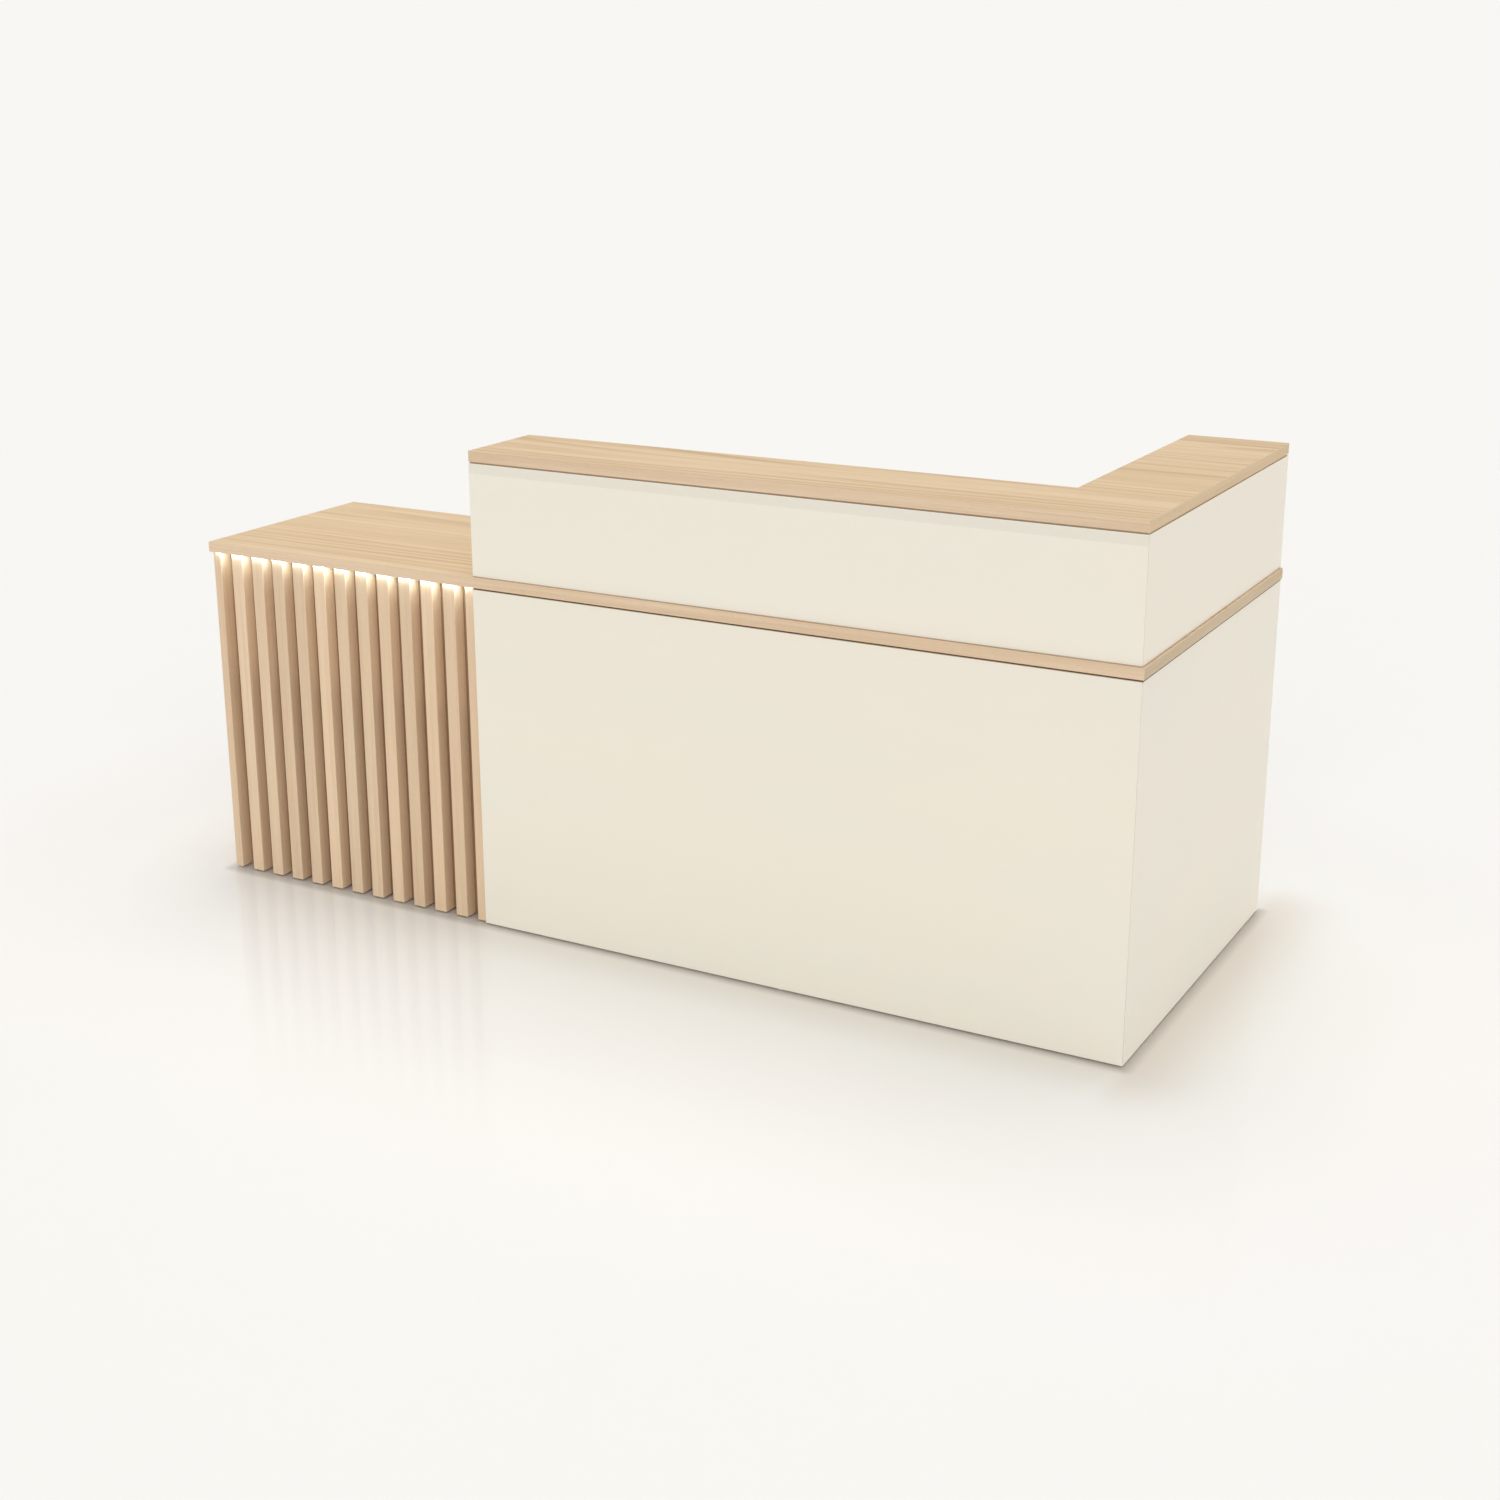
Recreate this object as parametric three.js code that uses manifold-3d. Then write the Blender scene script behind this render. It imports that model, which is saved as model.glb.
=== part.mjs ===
// Reception desk: a tall L-shaped block with a counter round its front and right end,
// and a lower slatted desk with a light line on its left.
// Millimetres, +Z up. +X is the visitor's right and +Y points to the staff side.
// The origin is on the floor, under the middle of the desk.

import * as THREE from 'three';
import { mergeVertices } from 'three/addons/utils/BufferGeometryUtils.js';
import Module from 'manifold-3d';

const wasm = await Module();
wasm.setup();

// Overall sizes
const TALL_LENGTH = 1400;
const LOW_LENGTH = 691;
const END_DEPTH = 850;
const WORKTOP_DEPTH = 490;
const WORKTOP_HEIGHT = 750;
const COUNTER_HEIGHT = 1005;
const WING_WIDTH = 500;
const COUNTER_DEPTH = 212;
const COUNTER_RETURN = 208;
const FLOOR_GAP = 4;

// Boards, and how far one face stands in front of another
const TOP_BOARD = 22;
const PANEL = 19;
const BACKING = 16;
const LIP = 3;
const UPPER_SETBACK = 2;
const REBATE_HEIGHT = 2.5;
const REBATE_DEPTH = 4;
const FIT = 0.3;
const OVERCUT = 5;

// Slatted front of the low desk
const SLAT_COUNT = 12;
const SLAT_WIDTH = 29;
const SLAT_DEPTH = 30;
const END_SLAT_WIDTH = 25;
const FIRST_GAP = 31;
const SLAT_SETBACK = 7;

// Light line in the worktop's underside
const LED_LIP = 2.2;
const LED_WIDTH = 7;
const LED_HEIGHT = 7;
const LED_WALL = 0.8;
const LED_END_MARGIN = 8;
const TAPE_THICK = 1.2;
const DIFFUSER_THICK = 1.2;
const LEAD_DIAMETER = 4;
const LEAD_GROOVE = 6;
const LEAD_INSET = 60;
const LEAD_DROP = 10;

// Light driver and its rocker switch
const DRIVER_LENGTH = 180;
const DRIVER_WIDTH = 60;
const DRIVER_HEIGHT = 30;
const DRIVER_GAP = 70;
const DRIVER_CHAMFER = 3;
const INLET_WIDTH = 22;
const INLET_HEIGHT = 16;
const INLET_DEPTH = 14;
const INLET_OFFSET = 14;
const ROCKER_OFFSET = 16;
const ROCKER_WIDTH = 13;
const ROCKER_HALF_HEIGHT = 8.5;
const ROCKER_BACK = 4.5;
const ROCKER_EDGE = 4;
const ROCKER_CROWN = 5.5;
const ROCKER_POCKET_DEPTH = 12;
const ROCKER_PIVOT_DEPTH = 3;
const ROCKER_TILT = THREE.MathUtils.degToRad(8);
const ROCKER_SWEEP = 1.8;

// Cable way through the worktop
const GROMMET_BORE = 30;
const GROMMET_FLANGE = 36;
const GROMMET_FLANGE_THICK = 2.5;
const GROMMET_WALL = 2.5;
const GROMMET_LENGTH = 18;
const GROMMET_STEP = 2;
const GROMMET_NOTCH_WIDTH = 20;
const GROMMET_NOTCH_DEPTH = 16;
const GROMMET_SETBACK = 70;

// Storage under the low desk
const TOE_SPACE = 60;
const BAY = 400;
const REVEAL = 3;
const UPPER_FRONT_HEIGHT = 256;
const BOX_REAR_SPACE = 30;
const BOX_WALL = 12;
const BOX_BASE = 8;
const BOX_HEADROOM = 60;
const BOX_LIFT = 18;
const RUNNER_SPACE = 12.5;
const RUNNER_HALF_HEIGHT = 17.5;
const RUNNER_METAL = 1.5;
const RUNNER_FLANGE = 9;
const RUNNER_NECK_HALF_HEIGHT = 7;
const RUNNER_LIFT = 40;
const HANDLE_SPAN = 128;
const HANDLE_REACH = 30;
const HANDLE_RADIUS = 5;
const HANDLE_BEND = 14;

// Boards under the counter
const SUPPORT_SETBACK = 12;

// Levelling feet
const PAD_RADIUS = 9;
const PAD_CHAMFER = 0.8;
const STUD_RADIUS = 4;
const STUD_LENGTH = 40;
const FOOT_INSET = 60;

// Facets of the round shapes
const ROUND_SIDES = 32;
const SMALL_SIDES = 12;
const HANDLE_STEPS = 40;
const HANDLE_SIDES = 12;
const LEAD_STEPS = 28;
const LEAD_SIDES = 8;

// Places of the main faces
const RIGHT = (LOW_LENGTH + TALL_LENGTH) / 2;
const LEFT = -RIGHT;
const FRONT = (LIP - END_DEPTH) / 2;
const REAR = FRONT + END_DEPTH;
const TALL_LEFT = RIGHT - TALL_LENGTH;
const WORKTOP_UNDER = WORKTOP_HEIGHT - TOP_BOARD;
const WORKTOP_FRONT = FRONT - LIP;
const WORKTOP_REAR = WORKTOP_FRONT + WORKTOP_DEPTH;
const WORKTOP_RIGHT = RIGHT + LIP;
const WING_LEFT = WORKTOP_RIGHT - WING_WIDTH;
const PANEL_TOP = WORKTOP_UNDER - FIT;
const UPPER_FRONT = FRONT + UPPER_SETBACK;
const UPPER_RIGHT = RIGHT - UPPER_SETBACK;
const UPPER_BOTTOM = WORKTOP_HEIGHT + FIT;
const COUNTER_UNDER = COUNTER_HEIGHT - TOP_BOARD;
const UPPER_TOP = COUNTER_UNDER - FIT;
const COUNTER_REAR = UPPER_FRONT + COUNTER_DEPTH;
const COUNTER_INNER = UPPER_RIGHT - COUNTER_RETURN;
const CABINET_REAR = WORKTOP_REAR - LIP;
const SLAT_FRONT = FRONT + SLAT_SETBACK;
const BACKING_FRONT = SLAT_FRONT + SLAT_DEPTH + FIT;
const BACKING_REAR = BACKING_FRONT + BACKING;
const BAY_LEFT = TALL_LEFT - BAY;

const oak = new THREE.MeshStandardMaterial({ color: '#dfc5a0', roughness: 0.5, metalness: 0 });
const ivory = new THREE.MeshStandardMaterial({ color: '#e8e2d4', roughness: 0.4, metalness: 0 });
const aluminium = new THREE.MeshStandardMaterial({ color: '#c4c6c8', roughness: 0.35, metalness: 1 });
const steel = new THREE.MeshStandardMaterial({ color: '#b8babc', roughness: 0.3, metalness: 1 });
const opal = new THREE.MeshStandardMaterial({ color: '#fff4e0', roughness: 0.5, emissive: '#ffe6c0' });
const whitePlastic = new THREE.MeshStandardMaterial({ color: '#e6e4de', roughness: 0.45, metalness: 0 });
const greyPlastic = new THREE.MeshStandardMaterial({ color: '#8f8c86', roughness: 0.55, metalness: 0 });
const coatedBoard = new THREE.MeshStandardMaterial({ color: '#e2e0da', roughness: 0.6, metalness: 0 });
const blackPlastic = new THREE.MeshStandardMaterial({ color: '#26262a', roughness: 0.5, metalness: 0 });

const desk = new THREE.Group();

function place(name, geometry, material) {
  const mesh = new THREE.Mesh(geometry, material);
  mesh.name = name;
  desk.add(mesh);
  return mesh;
}

// Plain shapes

function block(x0, x1, y0, y1, z0, z1) {
  const geometry = new THREE.BoxGeometry(x1 - x0, y1 - y0, z1 - z0);
  return geometry.translate((x0 + x1) / 2, (y0 + y1) / 2, (z0 + z1) / 2);
}

function outlineShape(points) {
  return new THREE.Shape(points.map(([u, v]) => new THREE.Vector2(u, v)));
}

// An outline in X and Y, pushed upwards.
function upright(points, z0, z1) {
  const geometry = new THREE.ExtrudeGeometry(outlineShape(points), { depth: z1 - z0, bevelEnabled: false });
  return geometry.translate(0, 0, z0);
}

// An outline in Y and Z, pushed along X.
function alongX(points, x0, x1) {
  const geometry = new THREE.ExtrudeGeometry(outlineShape(points), { depth: x1 - x0, bevelEnabled: false });
  const turn = new THREE.Matrix4().set(0, 0, 1, x0, 1, 0, 0, 0, 0, 1, 0, 0, 0, 0, 0, 1);
  return geometry.applyMatrix4(turn);
}

// An outline in X and Z, pushed along Y.
function alongY(points, y0, y1) {
  const geometry = new THREE.ExtrudeGeometry(outlineShape(points), { depth: y1 - y0, bevelEnabled: false });
  const turn = new THREE.Matrix4().set(1, 0, 0, 0, 0, 0, -1, y1, 0, 1, 0, 0, 0, 0, 0, 1);
  return geometry.applyMatrix4(turn);
}

// A profile of radius and height, turned about an upright axis.
function turned(profile, x, y, z, sides) {
  const points = profile.map(([radius, height]) => new THREE.Vector2(radius, height));
  const geometry = new THREE.LatheGeometry(points, sides);
  return geometry.rotateX(Math.PI / 2).translate(x, y, z);
}

function rod(radius, x, y, z0, z1, sides) {
  const geometry = new THREE.CylinderGeometry(radius, radius, z1 - z0, sides);
  return geometry.rotateX(Math.PI / 2).translate(x, y, (z0 + z1) / 2);
}

// A round bar that follows a curve. A full arc is drawn with twice as many sides as curve segments.
function bar(curve, radius, steps, sides) {
  const section = new THREE.Shape();
  section.absarc(0, 0, radius, 0, 2 * Math.PI);
  const options = { steps, extrudePath: curve, curveSegments: sides / 2, bevelEnabled: false };
  return new THREE.ExtrudeGeometry(section, options);
}

// Cutting one closed shape out of another

function toSolid(geometry) {
  const bare = geometry.clone();
  bare.deleteAttribute('normal');
  bare.deleteAttribute('uv');
  const merged = mergeVertices(bare);
  const vertProperties = new Float32Array(merged.attributes.position.array);
  const triVerts = new Uint32Array(merged.index.array);
  return new wasm.Manifold(new wasm.Mesh({ numProp: 3, vertProperties, triVerts }));
}

function cut(geometry, ...tools) {
  let solid = toSolid(geometry);
  for (const tool of tools) {
    solid = solid.subtract(toSolid(tool));
  }
  const mesh = solid.getMesh();
  const result = new THREE.BufferGeometry();
  result.setAttribute('position', new THREE.BufferAttribute(new Float32Array(mesh.vertProperties), 3));
  result.setIndex(new THREE.BufferAttribute(new Uint32Array(mesh.triVerts), 1));
  result.computeVertexNormals();
  return result;
}

// Levelling feet: a threaded stud in a blind hole in the board's lower edge, and a pad under it

const PANEL_MIDDLE = (TALL_LEFT + RIGHT) / 2;
const feet = [
  { name: 'foot_gable_front', board: 'left_gable', x: LEFT + PANEL / 2, y: SLAT_FRONT + FOOT_INSET },
  { name: 'foot_gable_rear', board: 'left_gable', x: LEFT + PANEL / 2, y: CABINET_REAR - FOOT_INSET },
  { name: 'foot_mid_front', board: 'mid_gable', x: TALL_LEFT + PANEL / 2, y: FRONT + PANEL + FOOT_INSET },
  { name: 'foot_mid_rear', board: 'mid_gable', x: TALL_LEFT + PANEL / 2, y: CABINET_REAR - FOOT_INSET },
  { name: 'foot_front_panel', board: 'lower_front_panel', x: PANEL_MIDDLE, y: FRONT + PANEL / 2 },
  { name: 'foot_end_front', board: 'lower_end_panel', x: RIGHT - PANEL / 2, y: FRONT + PANEL + FOOT_INSET },
  { name: 'foot_end_rear', board: 'lower_end_panel', x: RIGHT - PANEL / 2, y: REAR - FOOT_INSET },
  { name: 'foot_wing', board: 'wing_rear_panel', x: WING_LEFT + LIP + FOOT_INSET, y: REAR - PANEL / 2 },
];

const PAD_HEIGHT = FLOOR_GAP - FIT;
const STUD_TOP = PAD_HEIGHT + STUD_LENGTH;

function withFootBores(board, geometry) {
  const carried = feet.filter((foot) => foot.board === board);
  const radius = STUD_RADIUS + FIT;
  const top = STUD_TOP + FIT;
  const bores = carried.map((foot) => rod(radius, foot.x, foot.y, FLOOR_GAP - OVERCUT, top, SMALL_SIDES));
  return cut(geometry, ...bores);
}

for (const foot of feet) {
  const profile = [
    [0, 0],
    [PAD_RADIUS - PAD_CHAMFER, 0],
    [PAD_RADIUS, PAD_CHAMFER],
    [PAD_RADIUS, PAD_HEIGHT],
    [STUD_RADIUS, PAD_HEIGHT],
    [STUD_RADIUS, STUD_TOP],
    [0, STUD_TOP],
  ];
  place(foot.name, turned(profile, foot.x, foot.y, 0, SMALL_SIDES), steel);
}

// Ivory panels of the tall block, mitred at the front right corner.
// A small rebate along each top edge leaves the shadow line under the wood.

function mitredFront(front, right, z0, z1) {
  const outline = [
    [TALL_LEFT, front],
    [right - FIT, front],
    [right - FIT - PANEL, front + PANEL],
    [TALL_LEFT, front + PANEL],
  ];
  const rebate = block(
    TALL_LEFT - OVERCUT, right + OVERCUT,
    front - OVERCUT, front + REBATE_DEPTH,
    z1 - REBATE_HEIGHT, z1 + OVERCUT,
  );
  return cut(upright(outline, z0, z1), rebate);
}

function mitredEnd(front, right, z0, z1) {
  const outline = [
    [right, front],
    [right, REAR],
    [right - PANEL, REAR],
    [right - PANEL, front + PANEL],
  ];
  const rebate = block(
    right - REBATE_DEPTH, right + OVERCUT,
    front - OVERCUT, REAR + OVERCUT,
    z1 - REBATE_HEIGHT, z1 + OVERCUT,
  );
  return cut(upright(outline, z0, z1), rebate);
}

const lowerFront = mitredFront(FRONT, RIGHT, FLOOR_GAP, PANEL_TOP);
place('lower_front_panel', withFootBores('lower_front_panel', lowerFront), ivory);
const lowerEnd = mitredEnd(FRONT, RIGHT, FLOOR_GAP, PANEL_TOP);
place('lower_end_panel', withFootBores('lower_end_panel', lowerEnd), ivory);
place('upper_front_panel', mitredFront(UPPER_FRONT, UPPER_RIGHT, UPPER_BOTTOM, UPPER_TOP), ivory);
place('upper_end_panel', mitredEnd(UPPER_FRONT, UPPER_RIGHT, UPPER_BOTTOM, UPPER_TOP), ivory);

// Boards that stand on the floor and carry the worktop

const gable = block(LEFT, LEFT + PANEL, SLAT_FRONT, CABINET_REAR, FLOOR_GAP, PANEL_TOP);
place('left_gable', withFootBores('left_gable', gable), oak);

const midGable = block(
  TALL_LEFT, TALL_LEFT + PANEL, FRONT + PANEL + FIT, CABINET_REAR, FLOOR_GAP, PANEL_TOP,
);
place('mid_gable', withFootBores('mid_gable', midGable), ivory);

const wingPanel = block(
  WING_LEFT + LIP, RIGHT - PANEL - FIT, REAR - PANEL, REAR, FLOOR_GAP, PANEL_TOP,
);
place('wing_rear_panel', withFootBores('wing_rear_panel', wingPanel), ivory);

// Slatted front: a backing board between the gables, and slats on it at one pitch.
// The last slat is ripped to a narrower width where it meets the ivory panel.

const SLATS_LEFT = LEFT + PANEL;
const SLATS_RIGHT = TALL_LEFT;
const SLAT_PITCH = (SLATS_RIGHT - SLATS_LEFT - FIRST_GAP - END_SLAT_WIDTH) / (SLAT_COUNT - 1);

const backing = block(
  SLATS_LEFT + FIT, SLATS_RIGHT - FIT, BACKING_FRONT, BACKING_REAR, FLOOR_GAP, PANEL_TOP,
);
place('slat_backing', backing, oak);

for (let i = 0; i < SLAT_COUNT; i++) {
  const last = i === SLAT_COUNT - 1;
  const x0 = SLATS_LEFT + FIRST_GAP + i * SLAT_PITCH;
  const x1 = last ? SLATS_RIGHT - FIT : x0 + SLAT_WIDTH;
  const slat = block(x0, x1, SLAT_FRONT, SLAT_FRONT + SLAT_DEPTH, FLOOR_GAP, PANEL_TOP);
  place(`slat_${String(i + 1).padStart(2, '0')}`, slat, oak);
}

// Worktop: one L-shaped board. Its underside holds the grooves of the light and its lead.

const LED_LEFT = LEFT + LED_END_MARGIN;
const LED_RIGHT = TALL_LEFT - LED_END_MARGIN;
const LED_FRONT = WORKTOP_FRONT + LED_LIP;
const LED_REAR = LED_FRONT + LED_WIDTH;
const LEAD_X = SLATS_LEFT + LEAD_INSET;
const DRIVER_FRONT = BACKING_REAR + DRIVER_GAP;
const GROMMET_X = (TALL_LEFT + WING_LEFT) / 2;
const GROMMET_Y = COUNTER_REAR + GROMMET_SETBACK;

const worktopOutline = [
  [LEFT - LIP, WORKTOP_FRONT],
  [WORKTOP_RIGHT, WORKTOP_FRONT],
  [WORKTOP_RIGHT, REAR],
  [WING_LEFT, REAR],
  [WING_LEFT, WORKTOP_REAR],
  [LEFT - LIP, WORKTOP_REAR],
];
const ledGroove = block(
  LED_LEFT - FIT, LED_RIGHT + FIT,
  LED_FRONT - FIT, LED_REAR + FIT,
  WORKTOP_UNDER - OVERCUT, WORKTOP_UNDER + LED_HEIGHT + FIT,
);
const leadGroove = block(
  LEAD_X - LEAD_GROOVE / 2, LEAD_X + LEAD_GROOVE / 2,
  LED_REAR - FIT, DRIVER_FRONT,
  WORKTOP_UNDER - OVERCUT, WORKTOP_UNDER + LEAD_GROOVE,
);
const grommetBore = rod(
  GROMMET_BORE, GROMMET_X, GROMMET_Y, WORKTOP_UNDER - OVERCUT, WORKTOP_HEIGHT + OVERCUT, ROUND_SIDES,
);
const worktop = upright(worktopOutline, WORKTOP_UNDER, WORKTOP_HEIGHT);
place('worktop', cut(worktop, ledGroove, leadGroove, grommetBore), oak);

// Counter: one L-shaped board on the upper panels, with boards under its free rear edge

const counterOutline = [
  [TALL_LEFT, UPPER_FRONT],
  [UPPER_RIGHT, UPPER_FRONT],
  [UPPER_RIGHT, REAR],
  [COUNTER_INNER, REAR],
  [COUNTER_INNER, COUNTER_REAR],
  [TALL_LEFT, COUNTER_REAR],
];
place('counter_top', upright(counterOutline, COUNTER_UNDER, COUNTER_HEIGHT), oak);

const UPPER_INNER_FACE = UPPER_FRONT + PANEL + FIT;
const END_INNER_FACE = UPPER_RIGHT - PANEL - FIT;

const leftCap = block(
  TALL_LEFT, TALL_LEFT + PANEL, UPPER_INNER_FACE, COUNTER_REAR, UPPER_BOTTOM, UPPER_TOP,
);
place('upper_left_cap', leftCap, ivory);

const rearCap = block(COUNTER_INNER, END_INNER_FACE, REAR - PANEL, REAR, UPPER_BOTTOM, UPPER_TOP);
place('upper_rear_cap', rearCap, ivory);

// One board half way along the front run, one at the inner corner and one half way along the return
function frontSupport(x0) {
  return block(
    x0, x0 + PANEL, UPPER_INNER_FACE, COUNTER_REAR - SUPPORT_SETBACK, UPPER_BOTTOM, UPPER_TOP,
  );
}

place('counter_support_1', frontSupport((TALL_LEFT + COUNTER_INNER - PANEL) / 2), ivory);
place('counter_support_2', frontSupport(COUNTER_INNER - PANEL), ivory);

const returnMiddle = (COUNTER_REAR + REAR) / 2;
const returnSupport = block(
  COUNTER_INNER + SUPPORT_SETBACK, END_INNER_FACE,
  returnMiddle - PANEL / 2, returnMiddle + PANEL / 2,
  UPPER_BOTTOM, UPPER_TOP,
);
place('counter_support_3', returnSupport, ivory);

// Light line: a channel in the groove, the lit tape on its floor and the opal cover at its mouth

const channelTop = WORKTOP_UNDER + LED_HEIGHT;
const channelFloor = channelTop - LED_WALL;
const channelOutline = [
  [LED_FRONT, WORKTOP_UNDER],
  [LED_FRONT + LED_WALL, WORKTOP_UNDER],
  [LED_FRONT + LED_WALL, channelFloor],
  [LED_REAR - LED_WALL, channelFloor],
  [LED_REAR - LED_WALL, WORKTOP_UNDER],
  [LED_REAR, WORKTOP_UNDER],
  [LED_REAR, channelTop],
  [LED_FRONT, channelTop],
];
place('led_profile', alongX(channelOutline, LED_LEFT, LED_RIGHT), aluminium);

const innerFront = LED_FRONT + LED_WALL + FIT;
const innerRear = LED_REAR - LED_WALL - FIT;
const tape = block(
  LED_LEFT + FIT, LED_RIGHT - FIT,
  innerFront, innerRear,
  channelFloor - FIT - TAPE_THICK, channelFloor - FIT,
);
place('led_tape', tape, whitePlastic);

const diffuser = block(
  LED_LEFT, LED_RIGHT, innerFront, innerRear, WORKTOP_UNDER, WORKTOP_UNDER + DIFFUSER_THICK,
);
place('led_diffuser', diffuser, opal);

// Driver on the worktop's underside, with its mains inlet and rocker towards the staff

const DRIVER_REAR = DRIVER_FRONT + DRIVER_LENGTH;
const DRIVER_BOTTOM = PANEL_TOP - DRIVER_HEIGHT;
const DRIVER_MIDDLE = (DRIVER_BOTTOM + PANEL_TOP) / 2;
const INLET_X = LEAD_X - INLET_OFFSET;
const ROCKER_X = LEAD_X + ROCKER_OFFSET;

const driverOutline = [
  [LEAD_X - DRIVER_WIDTH / 2 + DRIVER_CHAMFER, DRIVER_BOTTOM],
  [LEAD_X + DRIVER_WIDTH / 2 - DRIVER_CHAMFER, DRIVER_BOTTOM],
  [LEAD_X + DRIVER_WIDTH / 2, DRIVER_BOTTOM + DRIVER_CHAMFER],
  [LEAD_X + DRIVER_WIDTH / 2, PANEL_TOP],
  [LEAD_X - DRIVER_WIDTH / 2, PANEL_TOP],
  [LEAD_X - DRIVER_WIDTH / 2, DRIVER_BOTTOM + DRIVER_CHAMFER],
];
const inletPocket = block(
  INLET_X - INLET_WIDTH / 2, INLET_X + INLET_WIDTH / 2,
  DRIVER_REAR - INLET_DEPTH, DRIVER_REAR + OVERCUT,
  DRIVER_MIDDLE - INLET_HEIGHT / 2, DRIVER_MIDDLE + INLET_HEIGHT / 2,
);
const rockerPocket = block(
  ROCKER_X - ROCKER_WIDTH / 2 - FIT, ROCKER_X + ROCKER_WIDTH / 2 + FIT,
  DRIVER_REAR - ROCKER_POCKET_DEPTH, DRIVER_REAR + OVERCUT,
  DRIVER_MIDDLE - ROCKER_HALF_HEIGHT - ROCKER_SWEEP, DRIVER_MIDDLE + ROCKER_HALF_HEIGHT + ROCKER_SWEEP,
);
const driver = alongY(driverOutline, DRIVER_FRONT, DRIVER_REAR);
place('led_driver', cut(driver, inletPocket, rockerPocket), whitePlastic);

// The rocker is drawn level about its pivot, then tipped to its on position.
const rockerOutline = [
  [-ROCKER_BACK, -ROCKER_BACK],
  [ROCKER_EDGE, -ROCKER_HALF_HEIGHT],
  [ROCKER_CROWN, 0],
  [ROCKER_EDGE, ROCKER_HALF_HEIGHT],
  [-ROCKER_BACK, ROCKER_BACK],
];
const rocker = alongX(rockerOutline, -ROCKER_WIDTH / 2, ROCKER_WIDTH / 2);
const rockerMesh = place('led_rocker', rocker, blackPlastic);
rockerMesh.rotation.x = ROCKER_TILT;
rockerMesh.position.set(ROCKER_X, DRIVER_REAR - ROCKER_PIVOT_DEPTH, DRIVER_MIDDLE);

// Lead from the light to the driver: along its groove over the slats, then down to the driver's end
const leadHigh = WORKTOP_UNDER + LEAD_GROOVE / 2;
const leadLow = DRIVER_MIDDLE;
const leadCurve = new THREE.CatmullRomCurve3([
  new THREE.Vector3(LEAD_X, LED_REAR + FIT, leadHigh),
  new THREE.Vector3(LEAD_X, SLAT_FRONT + SLAT_DEPTH / 2, leadHigh),
  new THREE.Vector3(LEAD_X, BACKING_REAR + LEAD_DROP, leadHigh),
  new THREE.Vector3(LEAD_X, BACKING_REAR + DRIVER_GAP / 2, (leadHigh + leadLow) / 2),
  new THREE.Vector3(LEAD_X, DRIVER_FRONT - LEAD_DROP, leadLow),
  new THREE.Vector3(LEAD_X, DRIVER_FRONT - FIT, leadLow),
]);
place('led_lead', bar(leadCurve, LEAD_DIAMETER / 2, LEAD_STEPS, LEAD_SIDES), whitePlastic);

// Cable way: a flanged ring in the worktop's bore, and a notched cap that turns in it

const sleeve = GROMMET_BORE - FIT;
const sleeveInner = sleeve - GROMMET_WALL;
const capSeat = WORKTOP_HEIGHT - GROMMET_STEP;
const flangeTop = WORKTOP_HEIGHT + FIT + GROMMET_FLANGE_THICK;
const ringProfile = [
  [sleeveInner - GROMMET_STEP, WORKTOP_HEIGHT - GROMMET_LENGTH],
  [sleeve, WORKTOP_HEIGHT - GROMMET_LENGTH],
  [sleeve, WORKTOP_HEIGHT + FIT],
  [GROMMET_FLANGE, WORKTOP_HEIGHT + FIT],
  [GROMMET_FLANGE, flangeTop - PAD_CHAMFER],
  [GROMMET_FLANGE - PAD_CHAMFER, flangeTop],
  [sleeveInner, flangeTop],
  [sleeveInner, capSeat],
  [sleeveInner - GROMMET_STEP, capSeat],
  [sleeveInner - GROMMET_STEP, WORKTOP_HEIGHT - GROMMET_LENGTH],
];
place('grommet_ring', turned(ringProfile, GROMMET_X, GROMMET_Y, 0, ROUND_SIDES), greyPlastic);

const capRadius = sleeveInner - FIT;
const capDisc = rod(capRadius, GROMMET_X, GROMMET_Y, capSeat + FIT, flangeTop, ROUND_SIDES);
const capNotch = block(
  GROMMET_X - GROMMET_NOTCH_WIDTH / 2, GROMMET_X + GROMMET_NOTCH_WIDTH / 2,
  GROMMET_Y - capRadius - OVERCUT, GROMMET_Y - capRadius + GROMMET_NOTCH_DEPTH,
  capSeat - OVERCUT, flangeTop + OVERCUT,
);
place('grommet_cap', cut(capDisc, capNotch), greyPlastic);

// Storage: a bottom board between the gables and a partition between the niche and the drawers

const CABINET_FLOOR = FLOOR_GAP + TOE_SPACE + PANEL;
const cabinetBottom = block(
  SLATS_LEFT + FIT, SLATS_RIGHT - FIT,
  BACKING_REAR + FIT, CABINET_REAR,
  CABINET_FLOOR - PANEL, CABINET_FLOOR,
);
place('cabinet_bottom', cabinetBottom, ivory);

const partition = block(
  BAY_LEFT - PANEL, BAY_LEFT, BACKING_REAR + FIT, CABINET_REAR, CABINET_FLOOR + FIT, PANEL_TOP,
);
place('cabinet_partition', partition, ivory);

// Drawers: a tray on a pair of runners, a front and a bow handle

const FRONT_LEFT = BAY_LEFT + REVEAL;
const FRONT_RIGHT = TALL_LEFT - REVEAL;
const BOX_LEFT = BAY_LEFT + RUNNER_SPACE;
const BOX_RIGHT = TALL_LEFT - RUNNER_SPACE;
const BOX_FRONT = CABINET_REAR - PANEL - FIT;
const BOX_BACK = BACKING_REAR + BOX_REAR_SPACE;
const UPPER_FRONT_BOTTOM = PANEL_TOP - REVEAL - UPPER_FRONT_HEIGHT;

const drawers = [
  { name: 'upper', z0: UPPER_FRONT_BOTTOM, z1: PANEL_TOP - REVEAL },
  { name: 'lower', z0: CABINET_FLOOR + REVEAL, z1: UPPER_FRONT_BOTTOM - REVEAL },
];

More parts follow.
